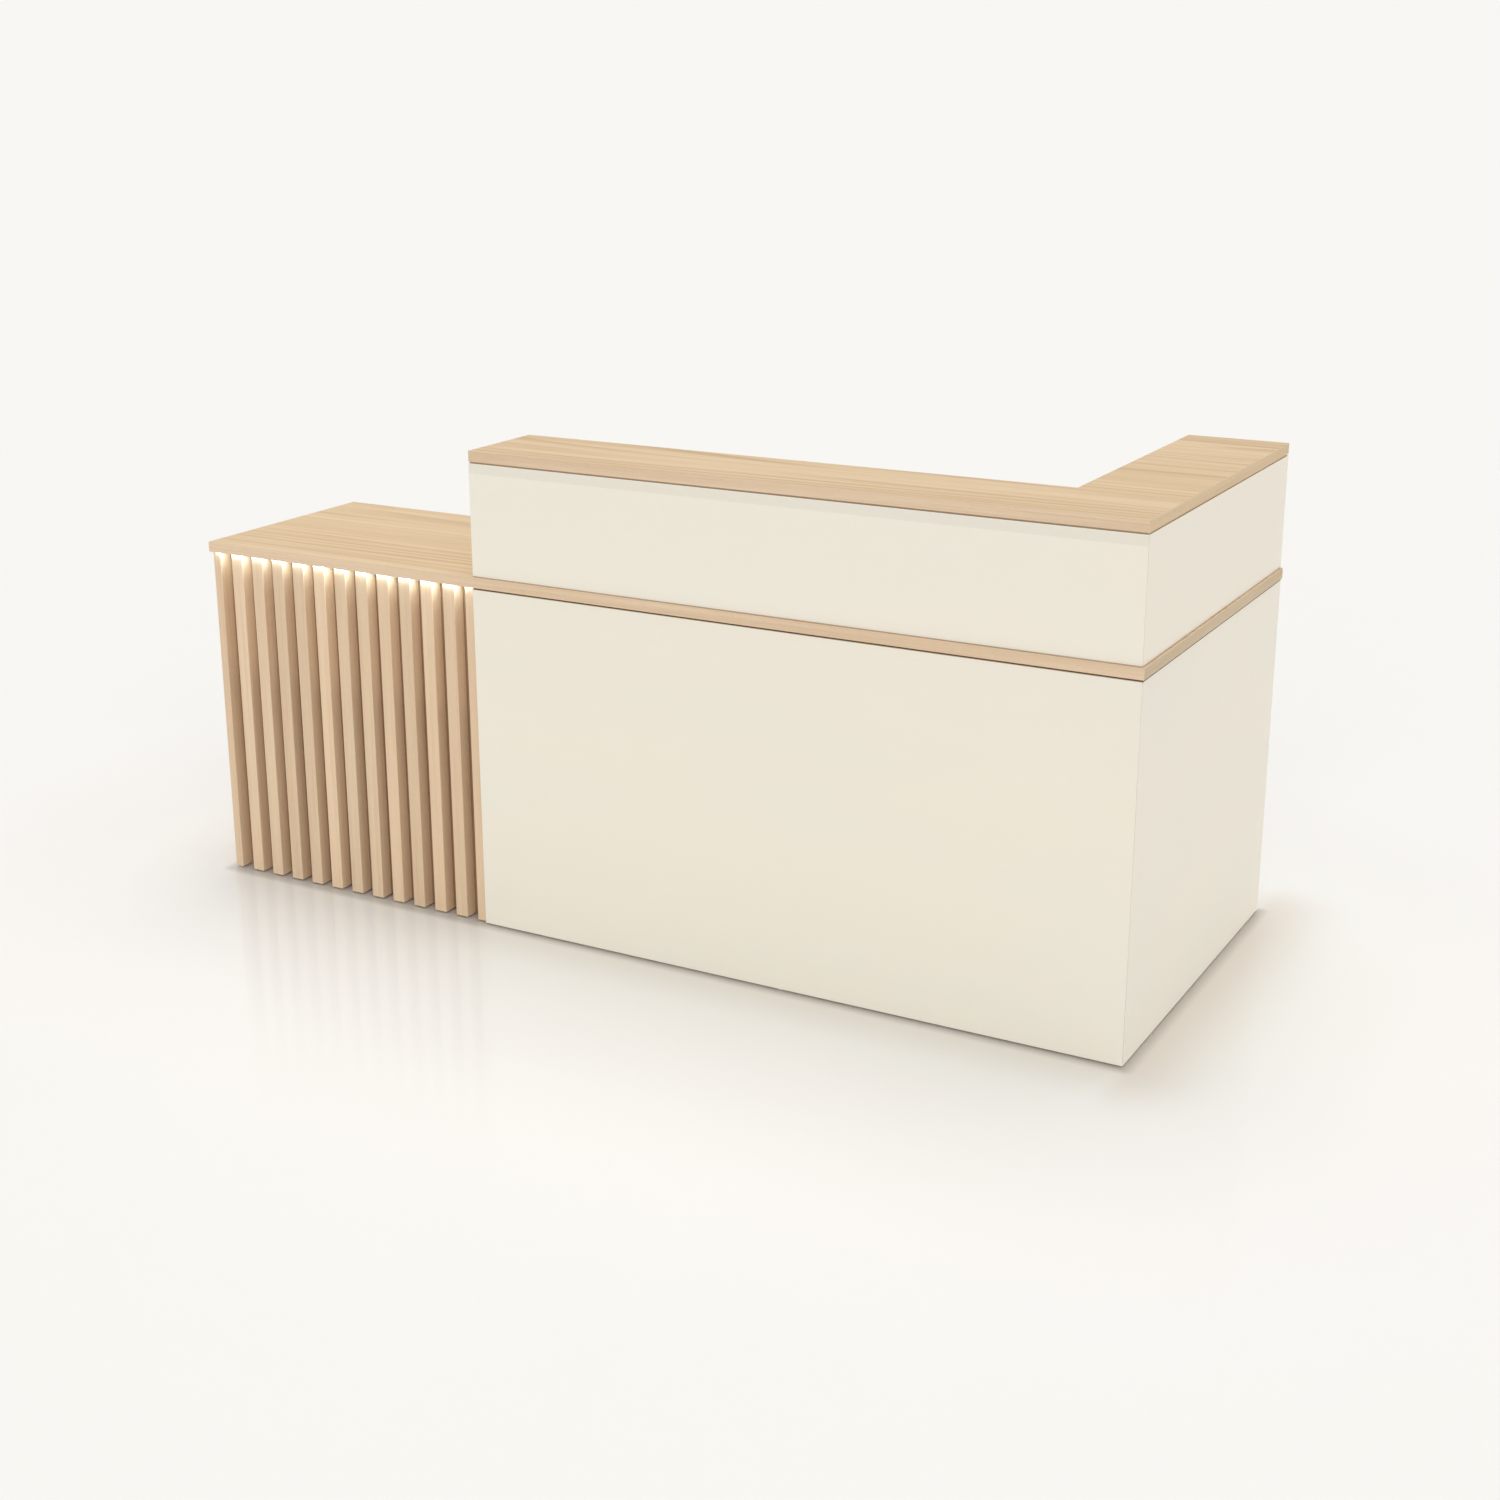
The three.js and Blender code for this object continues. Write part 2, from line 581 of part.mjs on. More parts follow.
// Half-sections of the runner, measured from the bay's side wall towards the drawer
const cabinetMember = [
  [FIT, -RUNNER_HALF_HEIGHT],
  [RUNNER_FLANGE, -RUNNER_HALF_HEIGHT],
  [RUNNER_FLANGE, RUNNER_METAL - RUNNER_HALF_HEIGHT],
  [FIT + RUNNER_METAL, RUNNER_METAL - RUNNER_HALF_HEIGHT],
  [FIT + RUNNER_METAL, RUNNER_HALF_HEIGHT - RUNNER_METAL],
  [RUNNER_FLANGE, RUNNER_HALF_HEIGHT - RUNNER_METAL],
  [RUNNER_FLANGE, RUNNER_HALF_HEIGHT],
  [FIT, RUNNER_HALF_HEIGHT],
];
const railStart = FIT + RUNNER_METAL + FIT;
const railEnd = RUNNER_FLANGE - RUNNER_METAL;
const railHalf = RUNNER_HALF_HEIGHT - RUNNER_METAL - FIT;
const plateEnd = RUNNER_SPACE - FIT;
const drawerMember = [
  [railStart, -railHalf],
  [railEnd, -railHalf],
  [railEnd, -RUNNER_NECK_HALF_HEIGHT],
  [plateEnd, -RUNNER_NECK_HALF_HEIGHT],
  [plateEnd, RUNNER_NECK_HALF_HEIGHT],
  [railEnd, RUNNER_NECK_HALF_HEIGHT],
  [railEnd, railHalf],
  [railStart, railHalf],
];

function runner(section, wall, side, z) {
  const points = section.map(([reach, height]) => [wall + side * reach, z + height]);
  return alongY(side > 0 ? points : points.reverse(), BOX_BACK, BOX_FRONT);
}

function drawerTray(z0, z1) {
  const outside = block(BOX_LEFT, BOX_RIGHT, BOX_BACK, BOX_FRONT, z0, z1);
  const inside = block(
    BOX_LEFT + BOX_WALL, BOX_RIGHT - BOX_WALL,
    BOX_BACK + BOX_WALL, BOX_FRONT - BOX_WALL,
    z0 + BOX_BASE, z1 + OVERCUT,
  );
  return cut(outside, inside);
}

function bowHandle(x, y, z) {
  const half = HANDLE_SPAN / 2;
  const bend = half - HANDLE_BEND;
  const leg = HANDLE_REACH - HANDLE_BEND;
  const out = HANDLE_REACH;
  const at = (dx, dy) => new THREE.Vector3(x + dx, y + dy, z);
  const path = new THREE.CurvePath();
  path.add(new THREE.LineCurve3(at(-half, FIT), at(-half, leg)));
  path.add(new THREE.QuadraticBezierCurve3(at(-half, leg), at(-half, out), at(-bend, out)));
  path.add(new THREE.LineCurve3(at(-bend, out), at(bend, out)));
  path.add(new THREE.QuadraticBezierCurve3(at(bend, out), at(half, out), at(half, leg)));
  path.add(new THREE.LineCurve3(at(half, leg), at(half, FIT)));
  return bar(path, HANDLE_RADIUS, HANDLE_STEPS, HANDLE_SIDES);
}

for (const drawer of drawers) {
  const front = block(FRONT_LEFT, FRONT_RIGHT, CABINET_REAR - PANEL, CABINET_REAR, drawer.z0, drawer.z1);
  const handle = bowHandle((FRONT_LEFT + FRONT_RIGHT) / 2, CABINET_REAR, (drawer.z0 + drawer.z1) / 2);
  const tray = drawerTray(drawer.z0 + BOX_LIFT, drawer.z1 - BOX_HEADROOM);
  const runnerHeight = drawer.z0 + BOX_LIFT + RUNNER_LIFT;
  place(`drawer_front_${drawer.name}`, front, ivory);
  place(`drawer_box_${drawer.name}`, tray, coatedBoard);
  place(`drawer_handle_${drawer.name}`, handle, steel);
  place(`cabinet_runner_${drawer.name}_left`, runner(cabinetMember, BAY_LEFT, 1, runnerHeight), steel);
  place(`cabinet_runner_${drawer.name}_right`, runner(cabinetMember, TALL_LEFT, -1, runnerHeight), steel);
  place(`drawer_runner_${drawer.name}_left`, runner(drawerMember, BAY_LEFT, 1, runnerHeight), steel);
  place(`drawer_runner_${drawer.name}_right`, runner(drawerMember, TALL_LEFT, -1, runnerHeight), steel);
}

export default desk;
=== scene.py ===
# %% [markdown]
# A reception desk, dressed in Blender
#
# The desk stands on a white studio floor. Its construction is already fixed: every board, runner and
# foot comes in as a frame at its real size. This lesson gives each of those pieces its finished surface,
# with rounded arrises, fixings, wood grain and a light line that really lights the slats. All lengths
# are metres, +X is the visitor's right, +Y the staff side and +Z up.

# %% Load the frame
import math

import bmesh
import bpy
from mathutils import Matrix, Vector


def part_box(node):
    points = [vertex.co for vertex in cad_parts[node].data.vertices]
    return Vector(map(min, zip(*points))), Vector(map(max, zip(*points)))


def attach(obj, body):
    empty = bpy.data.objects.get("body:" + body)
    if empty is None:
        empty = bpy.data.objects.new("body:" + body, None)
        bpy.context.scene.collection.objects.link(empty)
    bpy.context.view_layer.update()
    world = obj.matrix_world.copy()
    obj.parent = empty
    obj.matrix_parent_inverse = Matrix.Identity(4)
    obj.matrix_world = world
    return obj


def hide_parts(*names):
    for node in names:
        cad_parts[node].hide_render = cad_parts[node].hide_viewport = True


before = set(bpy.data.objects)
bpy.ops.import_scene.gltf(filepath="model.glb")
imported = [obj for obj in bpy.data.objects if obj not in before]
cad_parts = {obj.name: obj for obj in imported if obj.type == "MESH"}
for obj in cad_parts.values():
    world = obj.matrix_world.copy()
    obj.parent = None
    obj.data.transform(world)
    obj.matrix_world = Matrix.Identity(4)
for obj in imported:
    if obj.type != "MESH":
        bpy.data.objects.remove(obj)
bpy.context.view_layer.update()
scene = bpy.context.scene
MM = 0.001

# %% [markdown]
# The camera comes first, so that every later choice is judged through it. Its place was found by
# matching the corners of the boards. The optical axis isn't quite in the middle of a square picture of
# 1500 pixels, which is a small lens shift. Depth of field stays off, because a product picture is sharp
# all over.

# %% Set the camera
PICTURE_SIDE = 1500
AXIS_PIXEL = (742.3, 703.0)
CAMERA_PLACE = Vector((2.1642, -3.8373, 1.7518))
CAMERA_YAW = math.radians(29.10)
CAMERA_PITCH = math.radians(-16.76)
CAMERA_ROLL = math.radians(-0.16)
LENS = 51.72
SENSOR = 36

camera_data = bpy.data.cameras.new("camera")
camera_data.lens = LENS
camera_data.sensor_width = SENSOR
camera_data.shift_x = 0.5 - AXIS_PIXEL[0] / PICTURE_SIDE
camera_data.shift_y = AXIS_PIXEL[1] / PICTURE_SIDE - 0.5
camera = bpy.data.objects.new("camera", camera_data)
scene.collection.objects.link(camera)
turn = Matrix.Rotation(CAMERA_YAW, 4, "Z") @ Matrix.Rotation(math.pi / 2 + CAMERA_PITCH, 4, "X")
camera.matrix_world = Matrix.Translation(CAMERA_PLACE) @ turn @ Matrix.Rotation(CAMERA_ROLL, 4, "Z")
scene.camera = camera
print("camera at", [round(c, 3) for c in CAMERA_PLACE], "lens", LENS)

# %% [markdown]
# Materials are node trees, and most of them need the same few moves: a new Principled shader, a sum, a
# mix of two colours. They could be placed one by one, but small helpers keep each finish short enough to
# read. A helper takes a plain value or another node's socket, and returns the socket that it made.

# %% Small helpers for materials
MIX_FACTOR, MIX_FIRST, MIX_SECOND, MIX_RESULT = 0, 6, 7, 2


def new_finish(name, roughness, metallic=0.0, specular=0.5):
    """A material with a Principled shader, whose constant values are set on its own sockets."""
    material = bpy.data.materials.new(name)
    material.use_nodes = True
    tree = material.node_tree
    shader = tree.nodes["Principled BSDF"]
    shader.inputs["Roughness"].default_value = roughness
    shader.inputs["Metallic"].default_value = metallic
    shader.inputs["Specular IOR Level"].default_value = specular
    return material, tree, shader


def linear(red, green, blue):
    """A screen colour of 0 to 255 as the linear colour that a shader takes."""
    values = [c / 255 for c in (red, green, blue)]
    return [c / 12.92 if c < 0.04045 else ((c + 0.055) / 1.055) ** 2.4 for c in values] + [1.0]


def feed(tree, socket, value):
    """Links a socket to another node's socket, or sets it to a plain value."""
    if isinstance(value, bpy.types.NodeSocket):
        tree.links.new(value, socket)
    else:
        socket.default_value = value


def math_node(tree, operation, first, second=0.0):
    """One sum of two values."""
    node = tree.nodes.new("ShaderNodeMath")
    node.operation = operation
    feed(tree, node.inputs[0], first)
    feed(tree, node.inputs[1], second)
    return node.outputs[0]


def mix_colour(tree, factor, first, second, blend="MIX"):
    """The first colour where factor is 0, and the second where it is 1."""
    node = tree.nodes.new("ShaderNodeMix")
    node.data_type = "RGBA"
    node.blend_type = blend
    feed(tree, node.inputs[MIX_FACTOR], factor)
    feed(tree, node.inputs[MIX_FIRST], first)
    feed(tree, node.inputs[MIX_SECOND], second)
    return node.outputs[MIX_RESULT]


def remap(tree, value, low, high, new_low=0.0, new_high=1.0):
    """value taken from low..high to new_low..new_high, smoothly and without overshoot."""
    node = tree.nodes.new("ShaderNodeMapRange")
    node.interpolation_type = "SMOOTHSTEP"
    feed(tree, node.inputs["Value"], value)
    for name, number in (("From Min", low), ("From Max", high), ("To Min", new_low), ("To Max", new_high)):
        feed(tree, node.inputs[name], number)
    return node.outputs["Result"]


print("helpers for materials are ready")

# %% [markdown]
# A pattern needs a place and a size. Object coordinates are in metres here, so every texture size below
# is a real size, and a pattern stays on its board when the board moves. Noise that is stretched along
# one axis gives wood grain or brushed metal, and a Bump node turns a pattern into fine relief.

# %% Helpers for patterns


def axes(tree, place):
    """The X, Y and Z of a place, each as a socket."""
    split = tree.nodes.new("ShaderNodeSeparateXYZ")
    tree.links.new(place, split.inputs[0])
    return split.outputs


def object_place(tree, order="XYZ"):
    """Object coordinates, with the axes in the order asked for."""
    found = axes(tree, tree.nodes.new("ShaderNodeTexCoord").outputs["Object"])
    join = tree.nodes.new("ShaderNodeCombineXYZ")
    for axis, socket in zip(order, join.inputs):
        tree.links.new(found[axis], socket)
    return join.outputs[0]


def cloud(tree, place, sizes, detail=2.0, rough=0.5, warp=0.0):
    """Noise whose patches measure about sizes, one length for each axis of place."""
    stretch = tree.nodes.new("ShaderNodeVectorMath")
    stretch.operation = "MULTIPLY"
    stretch.inputs[1].default_value = [1 / s for s in sizes]
    tree.links.new(place, stretch.inputs[0])
    noise = tree.nodes.new("ShaderNodeTexNoise")
    noise.inputs["Scale"].default_value = 1.0
    noise.inputs["Detail"].default_value = detail
    noise.inputs["Roughness"].default_value = rough
    noise.inputs["Distortion"].default_value = warp
    tree.links.new(stretch.outputs[0], noise.inputs["Vector"])
    return noise.outputs["Fac"]


def raise_surface(tree, shader, height, depth):
    """Bump from a height of 0 to 1, where depth is the real relief in metres."""
    bump = tree.nodes.new("ShaderNodeBump")
    bump.inputs["Strength"].default_value = 1.0
    bump.inputs["Distance"].default_value = depth
    tree.links.new(height, bump.inputs["Height"])
    tree.links.new(bump.outputs["Normal"], shader.inputs["Normal"])


print("helpers for patterns are ready")

# %% [markdown]
# The wood is a pale oak decor on board. Its boldest marks are the darker lines where a growth ring comes
# to the surface. Stretched noise alone gives blotches there, not lines. So the lines step across the
# board at one distance, as rings in a trunk do, and a slow noise makes them sway and draw together. Each
# line darkens slowly and ends crisply, as a year's growth does, and another noise lets some of them go
# faint.

# %% Growth rings
RING_STEP = 42 * MM
RING_SWAY = 9.0
SWAY_SIZE = (3.6, 0.2, 0.2)
FAINT_SIZE = (1.6, 0.09, 0.09)
FAINT_RANGE = (0.38, 0.62, 0.15, 1.0)
RING_PEAK = 0.95
RING_START = 0.45


def growth_rings(tree, place):
    """Lines across the grain with a soft and a crisp side, from 0 between them to 1."""
    found = axes(tree, place)
    across = math_node(tree, "ADD", found["Y"], found["Z"])
    sway = cloud(tree, place, SWAY_SIZE, detail=1.5, warp=0.2)
    sway = math_node(tree, "MULTIPLY", sway, RING_SWAY)
    year = math_node(tree, "ADD", math_node(tree, "DIVIDE", across, RING_STEP), sway)
    year = math_node(tree, "FRACT", year)
    soft = remap(tree, year, RING_START, RING_PEAK)
    crisp = remap(tree, year, RING_PEAK, 1.0, 1.0, 0.0)
    faint = remap(tree, cloud(tree, place, FAINT_SIZE), *FAINT_RANGE)
    return math_node(tree, "MULTIPLY", math_node(tree, "MULTIPLY", soft, crisp), faint)


print("growth rings every", RING_STEP, "m")

# %% [markdown]
# Between the rings the wood is several things at once: wide bands of tone, narrow streaks and hairs that
# run with the grain, and short dark pores that only show from near. Each of these is noise of its own
# size, long with the grain and narrow across it. A range says between which values of the noise a mark
# fades in, and from how little to how much. A board's edge shows a glued band from another sheet, a
# little paler, with its grain along the edge. So the direction and the palette are arguments.

# %% Oak
GRAIN_ORDER = {"X": "XYZ", "Y": "YXZ", "Z": "ZXY"}
BAND_SIZE = (1.1, 75 * MM)
STREAK_SIZE = (0.5, 9 * MM)
HAIR_SIZE = (0.16, 2.2 * MM)
FIBRE_SIZE = (0.07, 0.9 * MM)
PORE_SIZE = (0.014, 0.45 * MM)
BAND_RANGE = (0.36, 0.66, 0.0, 1.0)
STREAK_RANGE = (0.46, 0.74, 0.0, 0.5)
HAIR_RANGE = (0.52, 0.78, 0.0, 0.4)
FIBRE_RANGE = (0.5, 0.75, 0.0, 0.3)
PORE_RANGE = (0.62, 0.74, 0.0, 0.5)
OAK_ROUGHNESS = (0.3, 0.7, 0.46, 0.58)
HAIR_RELIEF = 0.5
PORE_RELIEF = 0.03 * MM
PORE_SHADE = [0.74, 0.74, 0.74, 1.0]
TONE_RANGE = (0.95, 1.04)


def along_grain(tree, place, size, wide=1.0, **kind):
    """Noise of a length with the grain and a width across it."""
    return cloud(tree, place, (size[0], size[1] * wide, size[1] * wide), **kind)


def stick_tone(tree, colour, attribute):
    """Makes a colour darker or lighter by an attribute of 0 to 1 on the mesh."""
    tone = tree.nodes.new("ShaderNodeAttribute")
    tone.attribute_name = attribute
    shade = tree.nodes.new("ShaderNodeHueSaturation")
    tree.links.new(remap(tree, tone.outputs["Fac"], 0.0, 1.0, *TONE_RANGE), shade.inputs["Value"])
    tree.links.new(colour, shade.inputs["Color"])
    return shade.outputs["Color"]


def oak(name, grain, palette, rings_amount=0.5, tone_attribute=None, wide=1.0):
    """palette holds pale bands, middle bands, streaks and growth rings. wide scales bands and streaks."""
    pale, middle, dark, ring = [linear(*c) for c in palette]
    material, tree, shader = new_finish(name, roughness=0.5, specular=0.2)
    place = object_place(tree, GRAIN_ORDER[grain])
    bands = along_grain(tree, place, BAND_SIZE, wide, detail=3.0, warp=0.3)
    streaks = along_grain(tree, place, STREAK_SIZE, wide, detail=4.0, rough=0.6)
    hairs = along_grain(tree, place, HAIR_SIZE, detail=3.0, rough=0.6)
    fibres = along_grain(tree, place, FIBRE_SIZE)
    pores = along_grain(tree, place, PORE_SIZE, detail=1.0)

    colour = mix_colour(tree, remap(tree, bands, *BAND_RANGE), middle, pale)
    colour = mix_colour(tree, remap(tree, streaks, *STREAK_RANGE), colour, dark)
    colour = mix_colour(tree, remap(tree, hairs, *HAIR_RANGE), colour, pale)
    colour = mix_colour(tree, remap(tree, fibres, *FIBRE_RANGE), colour, dark)
    rings = math_node(tree, "MULTIPLY", growth_rings(tree, place), rings_amount)
    colour = mix_colour(tree, rings, colour, ring)
    in_pore = remap(tree, pores, *PORE_RANGE)
    colour = mix_colour(tree, in_pore, colour, mix_colour(tree, 1.0, colour, PORE_SHADE, "MULTIPLY"))
    if tone_attribute:
        colour = stick_tone(tree, colour, tone_attribute)
    tree.links.new(colour, shader.inputs["Base Color"])
    tree.links.new(remap(tree, streaks, *OAK_ROUGHNESS), shader.inputs["Roughness"])
    height = math_node(tree, "SUBTRACT", math_node(tree, "MULTIPLY", hairs, HAIR_RELIEF), in_pore)
    raise_surface(tree, shader, height, PORE_RELIEF)
    return material


print("oak pores", PORE_RELIEF, "m deep")

# %% [markdown]
# One decor still looks different from board to board. The tops were cut from warmer sheets than the edge
# bands, and the slats and the gable are paler. The worktop is painted a little lighter than the counter,
# as painted light against the shade that the tall part throws on it, and the face of the board behind the
# slats is painted dark as shade. Each palette below is one of these. The rings stay weak on narrow
# pieces, where a whole ring doesn't fit.

# %% Oak finishes
# The worktop's palette is painted light, a little lighter than the counter's, and the backing's palette is
# painted shade.
OAK_WORKTOP_PAINTED_LIGHT = [(232, 204, 166), (224, 194, 154), (208, 176, 135), (186, 153, 114)]
OAK_COUNTER = [(227, 199, 161), (218, 188, 148), (202, 170, 129), (181, 148, 109)]
OAK_EDGE = [(230, 205, 175), (221, 195, 164), (206, 176, 142), (192, 159, 125)]
OAK_END = [(213, 192, 160), (204, 183, 152), (188, 165, 134), (174, 148, 117)]
OAK_COUNTER_END = [(223, 197, 160), (215, 188, 150), (199, 171, 133), (186, 155, 118)]
OAK_STICK = [(230, 205, 174), (224, 197, 166), (212, 182, 149), (202, 169, 135)]
OAK_BACK_PAINTED_SHADE = [(164, 136, 108), (156, 127, 99), (142, 113, 85), (130, 100, 73)]
NARROW = 0.35

# Painted light: the worktop is a little lighter than the counter, to offset the shade that it gets.
oak_worktop_painted_light = oak("oak_worktop_painted_light", "X", OAK_WORKTOP_PAINTED_LIGHT, 0.55)
oak_counter = oak("oak_counter", "X", OAK_COUNTER, 0.55)
oak_edge = oak("oak_edge_band", "X", OAK_EDGE, 0.1, wide=NARROW)
oak_end = oak("oak_end_band", "Y", OAK_END, 0.1, wide=NARROW)
oak_counter_end = oak("oak_counter_end", "Y", OAK_COUNTER_END, 0.1, wide=NARROW)
oak_arris = oak("oak_arris", "X", OAK_EDGE, 0.1)
oak_upright = oak("oak_upright", "Z", OAK_STICK, 0.5)
oak_stick = oak("oak_stick", "Z", OAK_STICK, 0.15, tone_attribute="tone")
# Painted shade: the backing's face between the slats is darkened, as deep in the gaps.
oak_back_painted_shade = oak("oak_backing", "Z", OAK_BACK_PAINTED_SHADE, 0.3)
print("oak finishes:", [m.name for m in bpy.data.materials if m.name.startswith("oak")])

# %% [markdown]
# The ivory boards are faced with a satin decor. It looks plain, but a plain colour would look like
# plastic film: the real facing has a very fine pressed texture, and its tone drifts a little over half a
# metre. The drift is far too weak to notice by itself, and it is what keeps a large panel from looking
# like a flat fill.

# %% Ivory facing
IVORY = linear(240, 233, 218)
IVORY_COOL = linear(238, 233, 219)
IVORY_GREY = linear(226, 220, 207)
DRIFT_SIZE = (0.55, 0.55, 0.16)
PRESSED_SIZE = (1.1 * MM, 1.1 * MM, 1.1 * MM)
DRIFT_RANGE = (0.35, 0.65, 0.0, 1.0)
PRESSED_RANGE = (0.5, 0.8, 0.0, 0.06)
IVORY_ROUGHNESS = (0.3, 0.7, 0.36, 0.41)
FACING_RELIEF = 0.02 * MM
SHADOW_STRIP_SOFT = 1.5 * MM
SHADOW_STRIP_AMOUNT = 0.5
SHADE_LINE_HALF = 1.6 * MM
SHADE_LINE_SOFT = 0.4 * MM


def ivory(name, base=IVORY, drift=IVORY_COOL, strip=None, joint=None):
    """strip is a range of heights with a painted shadow, a greyer facing. The last argument holds the
    height and colour of a painted shade line at a joint.
    """
    material, tree, shader = new_finish(name, roughness=0.38, specular=0.4)
    place = object_place(tree)
    wide = cloud(tree, place, DRIFT_SIZE)
    fine = cloud(tree, place, PRESSED_SIZE)
    colour = mix_colour(tree, remap(tree, wide, *DRIFT_RANGE), base, drift)
    colour = mix_colour(tree, remap(tree, fine, *PRESSED_RANGE), colour, IVORY_GREY)
    height = axes(tree, place)["Z"]
    # Painted shadow: a greyer band of facing where the counter's edge would shade the panel.
    if strip:
        low, high = strip
        above = remap(tree, height, low - SHADOW_STRIP_SOFT, low + SHADOW_STRIP_SOFT)
        below = remap(tree, height, high - SHADOW_STRIP_SOFT, high + SHADOW_STRIP_SOFT, SHADOW_STRIP_AMOUNT, 0.0)
        colour = mix_colour(tree, math_node(tree, "MULTIPLY", above, below), colour, IVORY_GREY)
    # Painted shade: a darker line along a joint, where the wood's edge throws a thin shadow.
    if joint:
        level, line_shade = joint
        away = math_node(tree, "ABSOLUTE", math_node(tree, "SUBTRACT", height, level))
        in_shade_line = remap(tree, away, SHADE_LINE_HALF - SHADE_LINE_SOFT, SHADE_LINE_HALF, 1.0, 0.0)
        colour = mix_colour(tree, in_shade_line, colour, line_shade)
    tree.links.new(colour, shader.inputs["Base Color"])
    tree.links.new(remap(tree, wide, *IVORY_ROUGHNESS), shader.inputs["Roughness"])
    raise_surface(tree, shader, fine, FACING_RELIEF)
    return material


print("ivory facing with relief of", FACING_RELIEF, "m")

# %% [markdown]
# Where an ivory panel meets wood there is a fine line: a painted shade line at the foot of the upper
# panels, a shadow gap under each top, and a darker painted shade line beside the gap under the worktop.
# Such a line could be modelled alone, but from above an edge of wood hides the gap. So the gaps are real,
# with their faces painted dark as shade, and the shade lines are painted on the facing. The front of the
# upper panel also has a painted shadow of the counter along its top, a slightly greyer strip. The upper
# panels are given a slightly lighter facing than the lower ones, the end panel most, as painted light.

# %% Ivory finishes
# The strip along the top of the upper front panel is a painted shadow of the counter.
SHADOW_STRIP_FROM_TOP = (23 * MM, 4 * MM)
GAP_HEIGHT = 2.5 * MM
# Colours of painted shade lines at the joints, darkest on the lower end panel.
JOINT_SHADE_PALE = linear(200, 187, 178)
JOINT_SHADE_DARK = linear(160, 142, 120)
JOINT_SHADE_DARK_END = linear(100, 80, 60)

panel_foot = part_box("upper_front_panel")[0].z
panel_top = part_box("upper_front_panel")[1].z
panel_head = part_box("lower_front_panel")[1].z - GAP_HEIGHT
upper_shadow_strip = [panel_top - down for down in SHADOW_STRIP_FROM_TOP]
foot_shade_line = (panel_foot, JOINT_SHADE_PALE)
ivory_plain = ivory("ivory_facing")
# Painted light: the upper panels' facing is a little lighter than the lower ones', the end panel most.
ivory_end_painted_light_shade = ivory("ivory_upper_end", linear(243, 235, 219), linear(242, 235, 220), joint=foot_shade_line)
ivory_front_painted_light_shade = ivory(
    "ivory_upper_front", linear(241, 235, 220), linear(240, 235, 221), upper_shadow_strip, foot_shade_line,
)
ivory_lower = ivory("ivory_lower", joint=(panel_head, JOINT_SHADE_DARK))
ivory_lower_end = ivory("ivory_lower_end", joint=(panel_head, JOINT_SHADE_DARK_END))
# Painted shade: the faces of the groove under each top are dark, as in shadow, lighter on the upper end
# panel.
gap_shade_lower = ivory("painted_shade_gap_lower", linear(136, 110, 84), linear(130, 105, 80))
gap_shade_upper = ivory("painted_shade_gap_upper", linear(204, 182, 156), linear(197, 176, 150))
gap_shade_upper_end = ivory("painted_shade_gap_upper_end", linear(231, 216, 192), linear(224, 209, 186))
coated_board = ivory("coated_drawer_board", linear(226, 224, 218), linear(221, 219, 213))
print("ivory finishes:", [m.name for m in bpy.data.materials if m.name.startswith("ivory")])

# %% [markdown]
# The metals differ in how they were worked. Handles are brushed along their length, runners are drawn,
# brackets are zinc plated, which leaves a faint cloudy spangle, and the light channel is drawn and
# anodised, with hairlines along it. All are the same idea with other sizes: a metal whose roughness and
# relief come from stretched noise.

# %% Metals
BRUSH_RELIEF = 0.01 * MM
SMUDGE_SIZE = (0.05, 0.05, 0.05)
MARK_RANGE = (0.35, 0.7)
MARK_WEAR = 0.18
SMUDGE_WEAR = 0.1


def metal(name, colour, dark, line, roughness):
    """line gives the size of the brushing or the spangle along X, Y and Z."""
    material, tree, shader = new_finish(name, roughness=roughness, metallic=1.0)
    place = object_place(tree)
    marks = cloud(tree, place, line, detail=4.0, rough=0.65)
    smudge = cloud(tree, place, SMUDGE_SIZE)
    tint = mix_colour(tree, remap(tree, marks, *MARK_RANGE), dark, colour)
    tree.links.new(tint, shader.inputs["Base Color"])
    worn = math_node(tree, "MULTIPLY", marks, MARK_WEAR)
    worn = math_node(tree, "ADD", worn, math_node(tree, "MULTIPLY", smudge, SMUDGE_WEAR))
    worn = math_node(tree, "ADD", worn, roughness - (MARK_WEAR + SMUDGE_WEAR) / 2)
    tree.links.new(worn, shader.inputs["Roughness"])
    raise_surface(tree, shader, marks, BRUSH_RELIEF)
    return material


brushed_steel = metal(
    "brushed_steel", linear(206, 207, 208), linear(182, 183, 185), (0.05, 0.0006, 0.0006), 0.32,
)
zinc_steel = metal(
    "zinc_plated_steel", linear(196, 199, 203), linear(168, 172, 178), (0.006, 0.006, 0.006), 0.38,
)
anodised = metal(
    "anodised_aluminium", linear(205, 206, 208), linear(188, 189, 191), (0.2, 0.0005, 0.0005), 0.36,
)
drawn_steel = metal(
    "drawn_steel", linear(200, 202, 204), linear(178, 180, 183), (0.0006, 0.06, 0.0006), 0.34,
)
print("metals:", [m.name for m in (brushed_steel, zinc_steel, anodised, drawn_steel)])

# %% [markdown]
# Moulded plastic has the fine sparkle of an eroded tool: a small even grain in the surface that catches
# light. It also takes a little gloss where hands touch it, so the roughness drifts. One function makes
# the driver's casing, the cable ring, the rocker and the fixing covers.

# %% Moulded plastics
MOULD_RELIEF = 0.03 * MM
MOULD_SIZE = (0.7 * MM, 0.7 * MM, 0.7 * MM)
MOULD_RANGE = (0.35, 0.7, 0.0, 0.5)
HANDLING_SIZE = (0.03, 0.03, 0.03)
HANDLING_RANGE = (0.3, 0.7)
HANDLING_GLOSS = 0.05
HANDLING_DULL = 0.07


